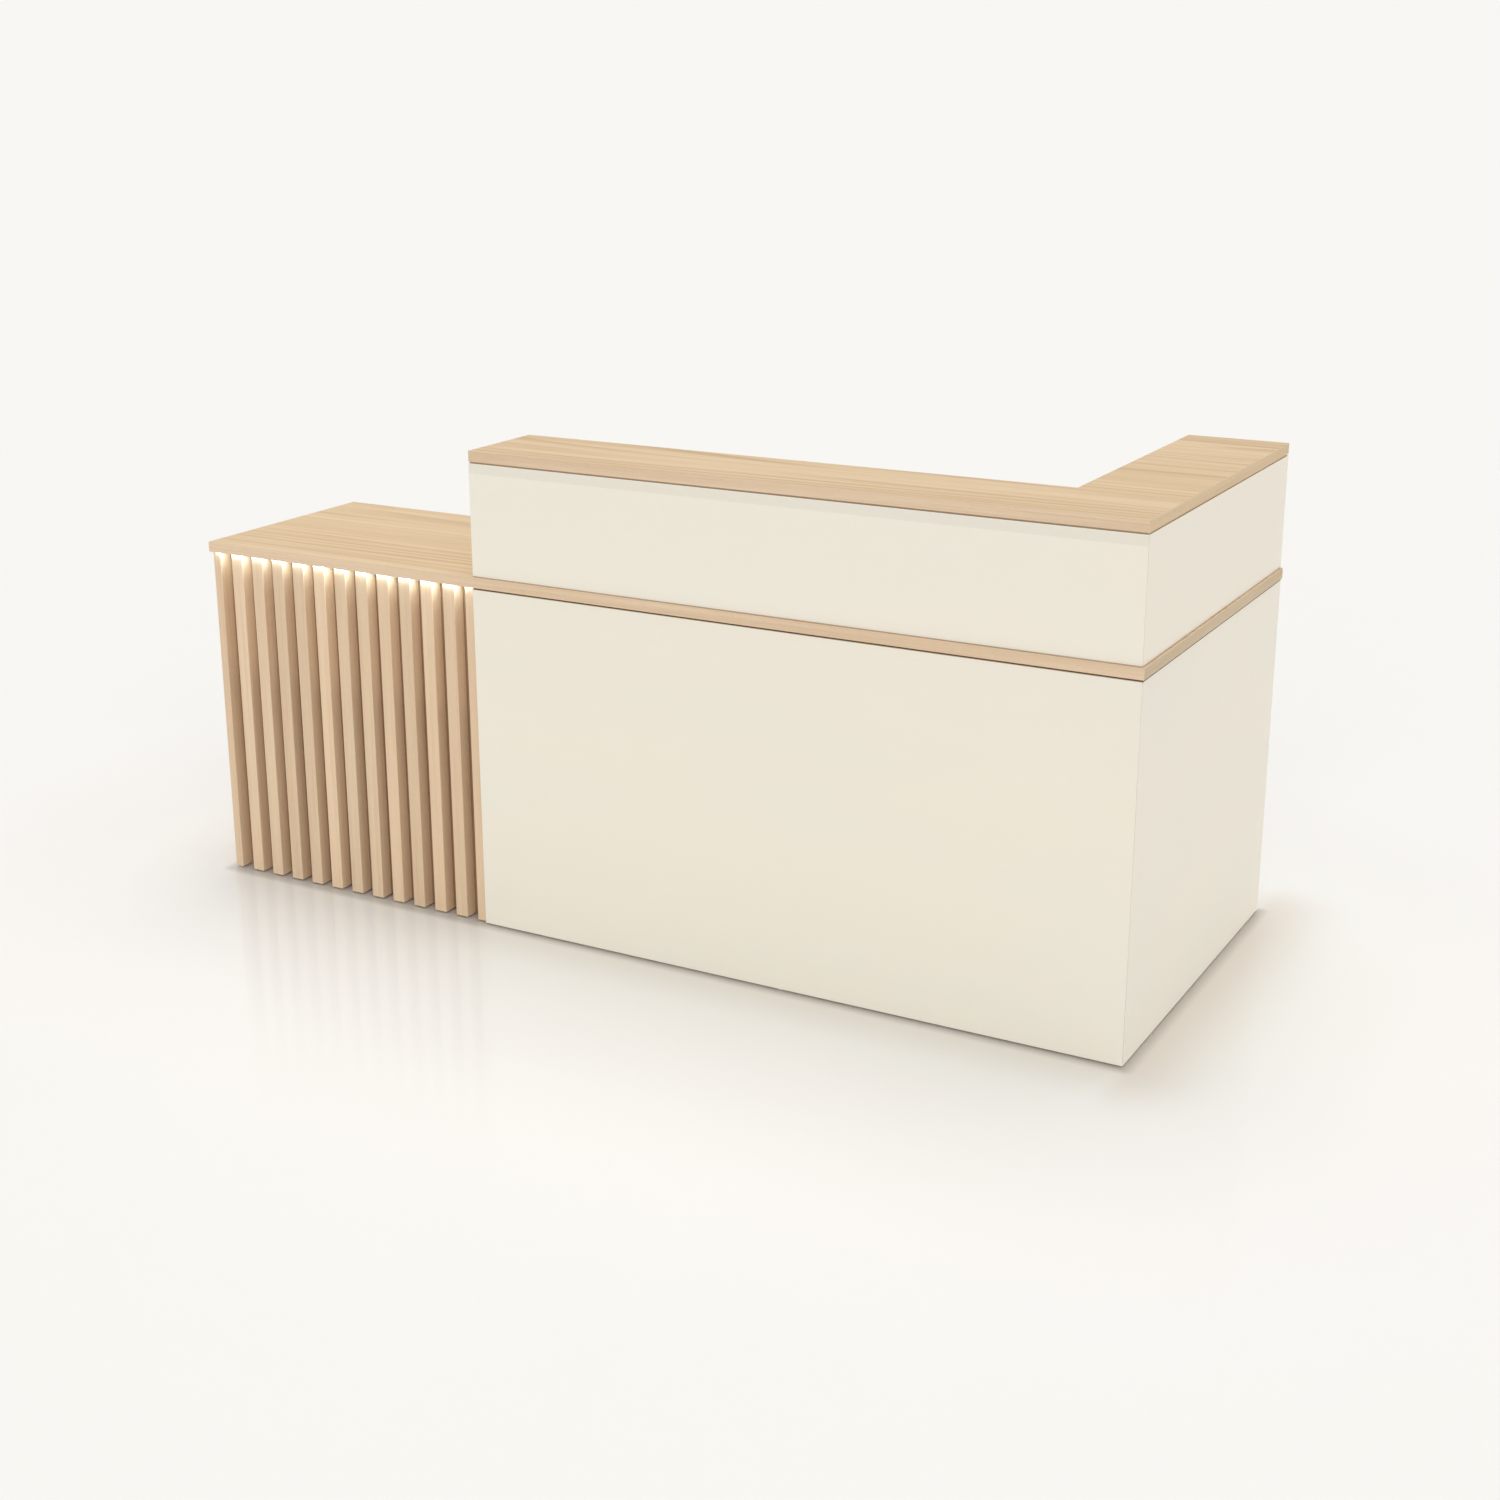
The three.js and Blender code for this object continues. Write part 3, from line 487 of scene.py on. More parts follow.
def plastic(name, colour, shade, roughness):
    """shade is the colour in the grain of the surface."""
    material, tree, shader = new_finish(name, roughness=roughness, specular=0.45)
    place = object_place(tree)
    grain = cloud(tree, place, MOULD_SIZE)
    handling = cloud(tree, place, HANDLING_SIZE, detail=3.0)
    tint = mix_colour(tree, remap(tree, grain, *MOULD_RANGE), colour, shade)
    tree.links.new(tint, shader.inputs["Base Color"])
    worn = (roughness - HANDLING_GLOSS, roughness + HANDLING_DULL)
    tree.links.new(remap(tree, handling, *HANDLING_RANGE, *worn), shader.inputs["Roughness"])
    raise_surface(tree, shader, grain, MOULD_RELIEF)
    return material


white_plastic = plastic("white_plastic", linear(230, 228, 222), linear(222, 220, 213), 0.45)
grey_plastic = plastic("grey_plastic", linear(150, 146, 139), linear(138, 134, 128), 0.5)
black_plastic = plastic("black_plastic", linear(40, 40, 43), linear(32, 32, 35), 0.42)
cover_plastic = plastic("cover_plastic", linear(231, 225, 210), linear(226, 219, 204), 0.42)
print("plastics:", [m.name for m in (white_plastic, grey_plastic, black_plastic, cover_plastic)])

# %% [markdown]
# The light line sits behind an opal cover in the worktop's underside. It could be faked with a bright
# texture on the slats, but then it would be wrong from every other side. Here the cover glows, and small
# lamps under it light the slat heads, so the glow and its quick fall-off come from the geometry. The
# lamps follow with the other lights. A faint ripple at the pitch of the diodes shows through the cover.

# %% Lit opal cover
LED_PITCH = 8.33 * MM
LED_STRENGTH = 4.0
LED_BRIGHT = linear(255, 252, 246)
LED_BETWEEN = linear(246, 242, 234)
OPAL_PAINTED_GLOW = linear(255, 249, 238)
OPAL_BETWEEN_GLOWS = linear(250, 242, 228)


def lit_opal(name):
    """A cover that glows, a little brighter in front of each diode. Its colour is painted lighter there
    too, as painted light.
    """
    material, tree, shader = new_finish(name, roughness=0.5)
    turns = math_node(tree, "MULTIPLY", axes(tree, object_place(tree))["X"], 2 * math.pi / LED_PITCH)
    ripple = remap(tree, math_node(tree, "SINE", turns), -1.0, 1.0)
    tree.links.new(mix_colour(tree, ripple, LED_BETWEEN, LED_BRIGHT), shader.inputs["Emission Color"])
    # Painted light: the cover's colour, not only its glow, is lighter in front of each diode.
    tree.links.new(mix_colour(tree, ripple, OPAL_BETWEEN_GLOWS, OPAL_PAINTED_GLOW), shader.inputs["Base Color"])
    shader.inputs["Emission Strength"].default_value = LED_STRENGTH
    return material


opal = lit_opal("lit_opal")
print("opal cover at strength", LED_STRENGTH)

# %% [markdown]
# Each board of the frame is a stack of loose triangles with knife-sharp edges. A real board has an
# arris: the edge band is trimmed to a small radius, and that radius is what catches the light along
# every edge. A Bevel modifier would round every edge alike. So the board is copied, its triangles are
# welded and dissolved back to whole faces, and its outer edges are bevelled. Edges round a groove or a
# bore are left sharp, because a cutter leaves them so.

# %% Rounded copies of boards
WELD = 0.001 * MM
FLAT_ANGLE = math.radians(1)
SHARP_ANGLE = math.radians(40)
FITTING_MARGIN = 2 * MM


def add_object(name, data):
    """A new object in the scene, at the origin."""
    obj = bpy.data.objects.new(name, data)
    scene.collection.objects.link(obj)
    return obj


def finish_piece(obj, body, slot, *nodes):
    """Rides obj on its body and hides the CAD nodes that it stands for. slot is not used."""
    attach(obj, body)
    if nodes:
        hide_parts(*nodes)
    return obj


def in_fitting(point, fittings):
    """Tells whether a point is at one of the fittings, which sit in grooves and bores."""
    for node in fittings:
        low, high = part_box(node)
        if all(low[i] - FITTING_MARGIN <= point[i] <= high[i] + FITTING_MARGIN for i in range(3)):
            return True
    return False


def whole_faces(node):
    """A welded copy of a node, with one face for each flat side."""
    shape = bmesh.new()
    shape.from_mesh(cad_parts[node].data)
    shape.transform(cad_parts[node].matrix_world)
    bmesh.ops.remove_doubles(shape, verts=shape.verts, dist=WELD)
    bmesh.ops.dissolve_limit(shape, angle_limit=FLAT_ANGLE, verts=shape.verts, edges=shape.edges)
    for face in shape.faces:
        face.smooth = False
    return shape


def round_arrises(shape, arris, fittings=(), segments=3, band_slot=-1):
    """Bevels the outer edges. band_slot is the material of the new faces, or -1 for their neighbours'."""
    edges = [
        e for e in shape.edges
        if e.is_manifold and e.is_convex and e.calc_face_angle() > SHARP_ANGLE
        and not in_fitting((e.verts[0].co + e.verts[1].co) / 2, fittings)
    ]
    made = bmesh.ops.bevel(
        shape, geom=edges, offset=arris, offset_type="OFFSET", segments=segments, profile=0.5,
        affect="EDGES", clamp_overlap=True, material=band_slot,
    )
    for face in made["faces"]:
        face.smooth = True


def shape_object(name, shape, *materials):
    """An object with the finished mesh of a shape."""
    mesh = bpy.data.meshes.new(name)
    shape.to_mesh(mesh)
    shape.free()
    for material in materials:
        mesh.materials.append(material)
    return add_object(name, mesh)


def rounded(node, name, materials, arris, fittings=(), face_slot=None, band_slot=-1):
    """A finished copy of one node. face_slot tells which of the materials a face takes."""
    shape = whole_faces(node)
    if face_slot:
        for face in shape.faces:
            face.material_index = face_slot(face)
    round_arrises(shape, arris, fittings, band_slot=band_slot)
    return shape_object(name, shape, *materials)


print("board tools are ready")

# %% [markdown]
# The two wood tops are the pieces that the eye goes to. Their grain runs along the desk, on both arms of
# the L, as on one wide sheet that was cut to shape. The ends get a band with the grain along the edge,
# and the small radius between face and edge shows the band's plain core. The materials are told apart by
# the way a face looks, which needs no UV map.

# %% Wood tops
TOP_ARRIS = 0.9 * MM
SQUARE_ON = 0.9
ARRIS_SLOT = 3
FEET = [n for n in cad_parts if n.startswith("foot_")]
TOP_FITTINGS = ("led_profile", "led_lead", "grommet_ring")


def top_slot(face):
    """0 for the two faces of a top, 1 for its long edges and 2 for its ends."""
    if abs(face.normal.z) > SQUARE_ON:
        return 0
    return 2 if abs(face.normal.x) > SQUARE_ON else 1


for node, face, end in (("worktop", oak_worktop_painted_light, oak_end), ("counter_top", oak_counter, oak_counter_end)):
    finishes = [face, oak_edge, end, oak_arris]
    top = rounded(node, node + "_board", finishes, TOP_ARRIS, TOP_FITTINGS, top_slot, ARRIS_SLOT)
    finish_piece(top, "desk", "oak", node)
    print(top.name, len(top.data.polygons), "faces")

# %% [markdown]
# The wood gable at the low end and the backing of the slats have their grain upright. Only the front of
# the backing shows between the slats, and it is painted dark as shade, so that the gaps look deep. Its
# back is plain, because the staff see it inside the niche.

# %% Upright wood
GABLE_ARRIS = 0.8 * MM


def backing_slot(face):
    """1 for the face that shows between the slats, darkened as painted shade, and 0 for all others."""
    return 1 if face.normal.y < -SQUARE_ON else 0


gable = rounded("left_gable", "left_gable_board", [oak_upright], GABLE_ARRIS, FEET)
finish_piece(gable, "desk", "oak", "left_gable")
backing_finishes = [oak_upright, oak_back_painted_shade]
backing = rounded(
    "slat_backing", "slat_backing_board", backing_finishes, GABLE_ARRIS, FEET, backing_slot,
)
finish_piece(backing, "desk", "oak", "slat_backing")
print("upright wood:", gable.name, backing.name)

# %% [markdown]
# The ivory boards are faced on both sides. Their arris is smaller than on the wood, because an ivory
# panel is banded with a thinner tape and its mitred corner has to look closed. A small groove along the
# top of each outer panel leaves a shadow line under the wood. Its faces are painted dark as shade, so that
# it stays a line in any light.

# %% Ivory boards
PANEL_ARRIS = 0.4 * MM
GAP_MARGIN = 0.1 * MM
IVORY_BOARDS = (
    "upper_left_cap", "upper_rear_cap", "counter_support_1", "counter_support_2", "counter_support_3",
    "mid_gable", "wing_rear_panel", "cabinet_bottom", "cabinet_partition",
)
FACED_PANELS = (
    ("lower_front_panel", ivory_lower, gap_shade_lower),
    ("lower_end_panel", ivory_lower_end, gap_shade_lower),
    ("upper_front_panel", ivory_front_painted_light_shade, gap_shade_upper),
    ("upper_end_panel", ivory_end_painted_light_shade, gap_shade_upper_end),
)


def gap_slot(top):
    """1 for the faces of the groove along a panel's top edge, which are painted dark as shade, and 0 for
    all others.
    """

    def slot(face):
        height = face.calc_center_median().z
        in_gap = height > top - GAP_HEIGHT - GAP_MARGIN and abs(face.normal.z) < SQUARE_ON
        near_gap = top - 2 * GAP_HEIGHT < height < top - GAP_HEIGHT / 2
        return 1 if in_gap or (near_gap and face.normal.z > SQUARE_ON) else 0

    return slot


for node in IVORY_BOARDS:
    board = rounded(node, node + "_board", [ivory_plain], PANEL_ARRIS, FEET)
    finish_piece(board, "desk", "ivory", node)
for node, finish, gap in FACED_PANELS:
    slots = gap_slot(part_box(node)[1].z)
    panel = rounded(node, node + "_board", [finish, gap], PANEL_ARRIS, FEET, slots)
    finish_piece(panel, "desk", "ivory", node)
print(len(IVORY_BOARDS) + len(FACED_PANELS), "ivory boards")

# %% [markdown]
# Geometry Nodes are a second way to model: a tree of steps that runs again whenever one of its sizes
# changes. The trees in this lesson are built in code, so a few helpers add sockets and nodes by name.
# When a tree has run, its result is kept as a plain mesh and the modifier goes, so that the piece is
# like every other.

# %% Helpers for Geometry Nodes


def geometry_tree(name, **inputs):
    """A tree with a geometry input and output, and one named input for each size."""
    tree = bpy.data.node_groups.new(name, "GeometryNodeTree")
    tree.interface.new_socket("Geometry", in_out="INPUT", socket_type="NodeSocketGeometry")
    tree.interface.new_socket("Geometry", in_out="OUTPUT", socket_type="NodeSocketGeometry")
    for label, kind in inputs.items():
        tree.interface.new_socket(label, in_out="INPUT", socket_type="NodeSocket" + kind)
    return tree, tree.nodes.new("NodeGroupInput").outputs, tree.nodes.new("NodeGroupOutput")


def add_node(tree, kind, settings=None, **links):
    """A node whose inputs, named with _ for a space, are linked to sockets or set to values."""
    made = tree.nodes.new(kind)
    for key, value in (settings or {}).items():
        setattr(made, key, value)
    for key, value in links.items():
        socket = next(s for s in made.inputs if s.enabled and s.name == key.replace("_", " "))
        feed(tree, socket, value)
    return made


def end_tree(tree, result, geometry, finish):
    """Makes copies real geometry, gives it its finish and sends it out."""
    real = add_node(tree, "GeometryNodeRealizeInstances", Geometry=geometry)
    coloured = add_node(tree, "GeometryNodeSetMaterial", Geometry=real.outputs[0], Material=finish)
    tree.links.new(coloured.outputs[0], result.inputs[0])
    return tree


def run_tree(name, tree, start, values):
    """Runs a tree on a start mesh and returns an object with the plain mesh that it made."""
    obj = add_object(name, start)
    modifier = obj.modifiers.new("shape", "NODES")
    modifier.node_group = tree
    for item in tree.interface.items_tree:
        if item.item_type == "SOCKET" and item.in_out == "INPUT" and item.name in values:
            modifier[item.identifier] = values[item.name]
    made = bpy.data.meshes.new_from_object(obj.evaluated_get(bpy.context.evaluated_depsgraph_get()))
    made.name = name
    obj.modifiers.remove(modifier)
    obj.data = made
    return obj


print("geometry tree tools are ready")

# %% [markdown]
# The slats are twelve copies of one stick at one pitch, which is what Geometry Nodes are for. The stick
# comes first. A cube with a bevel would do, but a rounded section that is filled and pushed up keeps its
# arrises at one radius whatever its width. Its left edge is at the origin, so that a narrower stick
# keeps its place.

# %% One slat
ARRIS_STEPS = 3


def slat_stick(tree, given):
    """One stick on the origin, from its width, depth, height and arris."""
    section = add_node(
        tree, "GeometryNodeCurvePrimitiveQuadrilateral", Width=given["Width"], Height=given["Depth"],
    )
    soft = add_node(
        tree, "GeometryNodeFilletCurve", {"mode": "POLY"},
        Curve=section.outputs[0], Count=ARRIS_STEPS, Radius=given["Arris"],
    )
    half = math_node(tree, "MULTIPLY", given["Width"], 0.5)
    shift = add_node(tree, "ShaderNodeCombineXYZ", X=half)
    beside = add_node(
        tree, "GeometryNodeTransform", Geometry=soft.outputs[0], Translation=shift.outputs[0],
    )
    face = add_node(tree, "GeometryNodeFillCurve", {"mode": "NGONS"}, Curve=beside.outputs[0])
    up = add_node(tree, "ShaderNodeCombineXYZ", Z=given["Height"])
    stick = add_node(
        tree, "GeometryNodeExtrudeMesh", {"mode": "FACES"},
        Mesh=face.outputs[0], Offset=up.outputs[0], Individual=False,
    )
    foot = add_node(tree, "GeometryNodeFlipFaces", Mesh=face.outputs[0])
    whole = add_node(tree, "GeometryNodeJoinGeometry")
    tree.links.new(stick.outputs["Mesh"], whole.inputs[0])
    tree.links.new(foot.outputs[0], whole.inputs[0])
    closed = add_node(tree, "GeometryNodeMergeByDistance", Geometry=whole.outputs[0], Distance=WELD)
    return closed.outputs[0]


print("a slat's arris has", ARRIS_STEPS, "steps")

# %% [markdown]
# A line of points sets the sticks out at their pitch. The last stick is ripped narrower where it meets
# the ivory panel, so the tree scales that one copy across. Sticks from one board still differ a little
# in tone. Each copy carries a random value from a fixed seed, and the wood material reads it.

# %% Slats
SLAT_ARRIS = 1.2 * MM
SLAT_SEED = 7
slat_nodes = sorted(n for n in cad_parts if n.startswith("slat_") and n != "slat_backing")
slat_boxes = [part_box(n) for n in slat_nodes]


def slat_tree():
    """A row of sticks, the last of them narrower, each with its own tone."""
    tree, given, result = geometry_tree(
        "slat_row", Count="Int", Start="Vector", Pitch="Float", Width="Float", Depth="Float",
        Height="Float", Arris="Float", Last_Width="Float", Seed="Int", Finish="Material",
    )
    step = add_node(tree, "ShaderNodeCombineXYZ", X=given["Pitch"])
    line = add_node(
        tree, "GeometryNodeMeshLine",
        Count=given["Count"], Start_Location=given["Start"], Offset=step.outputs[0],
    )
    number = add_node(tree, "GeometryNodeInputIndex")
    before_last = math_node(tree, "SUBTRACT", given["Count"], 1.5)
    is_last = math_node(tree, "GREATER_THAN", number.outputs[0], before_last)
    ratio = math_node(tree, "DIVIDE", given["Last_Width"], given["Width"])
    narrow = add_node(
        tree, "GeometryNodeSwitch", {"input_type": "FLOAT"},
        **{"Switch": is_last, "False": 1.0, "True": ratio},
    )
    scale = add_node(tree, "ShaderNodeCombineXYZ", X=narrow.outputs[0], Y=1.0, Z=1.0)
    sticks = add_node(
        tree, "GeometryNodeInstanceOnPoints",
        Points=line.outputs[0], Instance=slat_stick(tree, given), Scale=scale.outputs[0],
    )
    chance = add_node(tree, "FunctionNodeRandomValue", {"data_type": "FLOAT"}, Seed=given["Seed"])
    toned = add_node(
        tree, "GeometryNodeStoreNamedAttribute", {"data_type": "FLOAT", "domain": "INSTANCE"},
        Geometry=sticks.outputs[0], Name="tone", Value=chance.outputs["Value"],
    )
    return end_tree(tree, result, toned.outputs[0], given["Finish"])


first_low, first_high = slat_boxes[0]
last_low, last_high = slat_boxes[-1]
slat_row = run_tree("slat_row", slat_tree(), bpy.data.meshes.new("slat_start"), {
    "Count": len(slat_nodes),
    "Start": (first_low.x, (first_low.y + first_high.y) / 2, first_low.z),
    "Pitch": slat_boxes[1][0].x - first_low.x,
    "Width": first_high.x - first_low.x,
    "Depth": first_high.y - first_low.y,
    "Height": first_high.z - first_low.z,
    "Arris": SLAT_ARRIS,
    "Last_Width": last_high.x - last_low.x,
    "Seed": SLAT_SEED,
    "Finish": oak_stick,
})
finish_piece(slat_row, "desk", "oak", *slat_nodes)
print("slats:", len(slat_nodes), "sticks,", len(slat_row.data.polygons), "faces")

# %% [markdown]
# Handles, feet, the cable ring and the lead are all round. Blender's own cylinders and a bevelled curve
# would make some of them, but rings of points joined by a skin make all of them in one way. A ring can
# be a single point, which closes the shape like the pole of a globe. Faces are shaded smooth and only
# real corners stay sharp, so a bar of twenty-four sides looks round.

# %% Helpers for round shapes
CORNER_ANGLE = math.radians(35)


def circle(radius, height, sides, flat=1.0):
    """Points on a circle. With flat below 1 every second one is pulled in: twelve then make a hexagon."""
    points = []
    for i in range(sides):
        reach = radius * (flat if i % 2 else 1.0)
        angle = 2 * math.pi * i / sides
        points.append(Vector((reach * math.cos(angle), reach * math.sin(angle), height)))
    return points


def tip(height):
    """A ring of a single point, which closes a skin."""
    return [Vector((0, 0, height))]


def skin(shape, rings, place=Matrix.Identity(4), closed=False):
    """Joins each ring of points to the next. A closed skin also joins the last ring to the first."""
    made = [[shape.verts.new(place @ point) for point in ring] for ring in rings]
    if closed:
        made.append(made[0])
    for low, high in zip(made, made[1:]):
        sides = max(len(low), len(high))
        for i in range(sides):
            j = (i + 1) % sides
            corners = (low[i % len(low)], low[j % len(low)], high[j % len(high)], high[i % len(high)])
            shape.faces.new(list(dict.fromkeys(corners)))
    return made


def prism(shape, outline, lift):
    """An outline pushed along the vector lift, with a face at each end."""
    low, high = skin(shape, [outline, [point + lift for point in outline]])
    shape.faces.new(list(reversed(low)))
    shape.faces.new(high)
    bmesh.ops.recalc_face_normals(shape, faces=shape.faces)


def tube(shape, path, radius, sides):
    """A round bar along a path of points, with flat ends."""
    rings = []
    across = (path[1] - path[0]).orthogonal().normalized()
    for i, point in enumerate(path):
        ahead = (path[min(i + 1, len(path) - 1)] - path[max(i - 1, 0)]).normalized()
        across = (across - ahead * across.dot(ahead)).normalized()
        beside = ahead.cross(across)
        rings.append([point + across * p.x + beside * p.y for p in circle(radius, 0, sides)])
    made = skin(shape, rings)
    shape.faces.new(list(reversed(made[0])))
    shape.faces.new(made[-1])


def shade_round(shape):
    """Smooth faces with sharp corners, all of them looking outwards."""
    bmesh.ops.recalc_face_normals(shape, faces=shape.faces)
    for face in shape.faces:
        face.smooth = True
    for edge in shape.edges:
        edge.smooth = edge.calc_face_angle(0.0) < CORNER_ANGLE


print("round shape tools are ready")

# %% [markdown]
# The light line is a drawn channel in the worktop's groove, a tape with a diode every few millimetres
# and the opal cover. A thin lead runs from it in a groove over the slats and bends down into the driver.
# The lead is a tube along a path with an easy bend, because a cable never turns a sharp corner. Mirrors
# leave the lit cover out, or it would lay a bright streak on the polished floor.

# %% Light line
CHANNEL_ARRIS = 0.15 * MM
COVER_ARRIS = 0.3 * MM
LEAD_SIDES = 16
LEAD_STEPS = 24
LEAD_STRAIGHT = 8 * MM

channel = rounded("led_profile", "led_channel", [anodised], CHANNEL_ARRIS)
finish_piece(channel, "desk", "aluminium", "led_profile")
strip = rounded("led_tape", "led_strip", [white_plastic], COVER_ARRIS)
finish_piece(strip, "desk", "white_plastic", "led_tape")
cover = rounded("led_diffuser", "led_cover", [opal], COVER_ARRIS)
cover.visible_glossy = False
finish_piece(cover, "desk", "opal", "led_diffuser")


def lead_path():
    """Straight along the groove, an easy bend down behind the backing, and straight into the driver."""
    low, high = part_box("led_lead")
    radius = (high.x - low.x) / 2
    middle = low.x + radius
    bend_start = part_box("slat_backing")[1].y + LEAD_STRAIGHT
    bend_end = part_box("led_driver")[0].y - LEAD_STRAIGHT
    path = [Vector((middle, low.y, high.z - radius))]
    for i in range(LEAD_STEPS + 1):
        part = i / LEAD_STEPS
        ease = part * part * (3 - 2 * part)
        drop = (high.z - low.z - 2 * radius) * ease
        path.append(Vector((middle, bend_start + (bend_end - bend_start) * part, high.z - radius - drop)))
    path.append(Vector((middle, high.y, low.z + radius)))
    return path, radius


lead_shape = bmesh.new()
tube(lead_shape, *lead_path(), LEAD_SIDES)
shade_round(lead_shape)
lead = shape_object("led_lead_sheath", lead_shape, white_plastic)
finish_piece(lead, "desk", "white_plastic", "led_lead")
print("light line pieces:", [piece.name for piece in (channel, strip, cover, lead)])

# %% [markdown]
# The driver hangs under the worktop in the niche. Its case and its rocker already have their shapes in
# the frame, so both are rounded copies, and the rocker rides on its own body, because it tilts. The
# mains inlet is an opening with three flat pins. They are blocks that are rounded together as one mesh.

# %% Driver and rocker
DRIVER_ARRIS = 0.8 * MM
ROCKER_ARRIS = 0.5 * MM
PIN_ARRIS = 0.4 * MM
PIN_SIZE = Vector((2.4, 8.0, 4.2)) * MM
PIN_PLACES = ((-6 * MM, -2.5 * MM), (0.0, 2.5 * MM), (6 * MM, -2.5 * MM))
INLET_CENTRE = -14 * MM
INLET_FLOOR = 14 * MM


def add_block(shape, low, high):
    """A plain block in a shape, to be rounded together with the rest."""
    size = Vector(high) - Vector(low)
    middle = Matrix.Translation((Vector(low) + Vector(high)) / 2)
    bmesh.ops.create_cube(shape, size=1.0, matrix=middle @ Matrix.Diagonal(size.to_4d()))


driver = rounded("led_driver", "led_driver_case", [white_plastic], DRIVER_ARRIS)
finish_piece(driver, "desk", "white_plastic", "led_driver")
rocker = rounded("led_rocker", "led_rocker_key", [black_plastic], ROCKER_ARRIS)
finish_piece(rocker, "light_rocker", "black_plastic", "led_rocker")

driver_low, driver_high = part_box("led_driver")
driver_middle = (driver_low + driver_high) / 2
pins = bmesh.new()
for dx, dz in PIN_PLACES:
    foot = Vector((driver_middle.x + INLET_CENTRE + dx, driver_high.y - INLET_FLOOR, driver_middle.z + dz))
    corner = Vector((PIN_SIZE.x / 2, 0, PIN_SIZE.z / 2))
    add_block(pins, foot - corner, foot + corner + Vector((0, PIN_SIZE.y, 0)))
round_arrises(pins, PIN_ARRIS)
inlet_pins = shape_object("inlet_pins", pins, zinc_steel)
finish_piece(inlet_pins, "desk", "zinc_steel")
print("driver of", len(driver.data.polygons), "faces with", len(PIN_PLACES), "inlet pins")

# %% [markdown]
# Cables come up through a plastic ring in the worktop. The ring is a turned profile: a sleeve in the
# bore, a flange on the wood and a seat for the cap. Blender's Screw modifier could turn it. Here it is a
# closed skin of circles, one for each corner of the profile.

# %% Cable ring
ROUND_SIDES = 64
PLASTIC_ARRIS = 0.5 * MM
RING_BORE = 25.2 * MM
RING_SEAT = 27.2 * MM
RING_SLEEVE = 29.7 * MM
FLANGE_EDGE = 1.2 * MM
FLANGE_GAP = 0.1 * MM
SEAT_GAP = 0.3 * MM

ring_low, ring_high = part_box("grommet_ring")
ring_middle = (ring_low + ring_high) / 2
flange = (ring_high.x - ring_low.x) / 2
flange_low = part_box("worktop")[1].z + FLANGE_GAP
cap_low, cap_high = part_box("grommet_cap")
seat = cap_low.z - SEAT_GAP
ring_profile = (
    (RING_BORE, ring_low.z), (RING_SLEEVE, ring_low.z), (RING_SLEEVE, flange_low), (flange, flange_low),
    (flange, ring_high.z - FLANGE_EDGE), (flange - FLANGE_EDGE, ring_high.z), (RING_SEAT, ring_high.z),
    (RING_SEAT, seat), (RING_BORE, seat),
)
ring_shape = bmesh.new()
axis = Matrix.Translation((ring_middle.x, ring_middle.y, 0))
skin(ring_shape, [circle(r, z, ROUND_SIDES) for r, z in ring_profile], axis, closed=True)
bmesh.ops.recalc_face_normals(ring_shape, faces=ring_shape.faces)
round_arrises(ring_shape, PLASTIC_ARRIS)
shade_round(ring_shape)
ring = shape_object("cable_ring", ring_shape, grey_plastic)
finish_piece(ring, "desk", "grey_plastic", "grommet_ring")
print("cable ring of", len(ring.data.polygons), "faces")

# %% [markdown]
# The cap is a disc with a notch for the cables, and it turns in the ring. A Boolean could cut the notch,
# but it leaves long thin faces that spoil the rounded edge. So the outline is drawn with the notch in it
# and pushed up to the cap's thickness.

# %% Cable cap
NOTCH_WIDTH = 20 * MM
NOTCH_DEPTH = 16 * MM
NOTCH_CORNER = 4 * MM
QUARTER_STEPS = 4


def cap_outline(radius):
    """A disc with a notch cut in from the visitor's side, its inner corners rounded."""
    half = NOTCH_WIDTH / 2
    rim = math.asin(half / radius)
    points = []
    for i in range(ROUND_SIDES + 1):
        turn = -math.pi / 2 + rim + (2 * math.pi - 2 * rim) * i / ROUND_SIDES
        points.append(Vector((radius * math.cos(turn), radius * math.sin(turn), 0)))
    depth = NOTCH_DEPTH - radius
    for side, first in ((-1, math.pi), (1, math.pi / 2)):
        for i in range(QUARTER_STEPS + 1):
            turn = first - math.pi / 2 * i / QUARTER_STEPS
            centre = Vector((side * (half - NOTCH_CORNER), depth - NOTCH_CORNER, 0))
            points.append(centre + NOTCH_CORNER * Vector((math.cos(turn), math.sin(turn), 0)))
    return points


cap_shape = bmesh.new()
cap_place = Vector((ring_middle.x, ring_middle.y, cap_low.z))
cap_points = [cap_place + p for p in cap_outline(cap_high.x - ring_middle.x)]
prism(cap_shape, cap_points, Vector((0, 0, cap_high.z - cap_low.z)))
round_arrises(cap_shape, PLASTIC_ARRIS)
shade_round(cap_shape)
cap = shape_object("cable_cap_disc", cap_shape, grey_plastic)
finish_piece(cap, "cable_cap", "grey_plastic", "grommet_cap")
print("cable cap of", len(cap.data.polygons), "faces")

# %% [markdown]
# A drawer's tray is five boards with their own arrises, so that every joint shows as a fine line. One
# box with a hollow would be simpler, but it would look moulded. The front has a bow handle: one bent bar
# on two small rosettes. The bar is a tube along a path whose corners are curves with one control point.

# %% Trays and bow handles
TRAY_WALL = 12 * MM
TRAY_BASE = 8 * MM
TRAY_ARRIS = 0.6 * MM
HANDLE_BEND = 14 * MM
HANDLE_SIDES = 24
BEND_STEPS = 10
ROSETTE = ((8.0, 0.0), (8.0, 0.9), (7.3, 1.6), (5.4, 1.9))


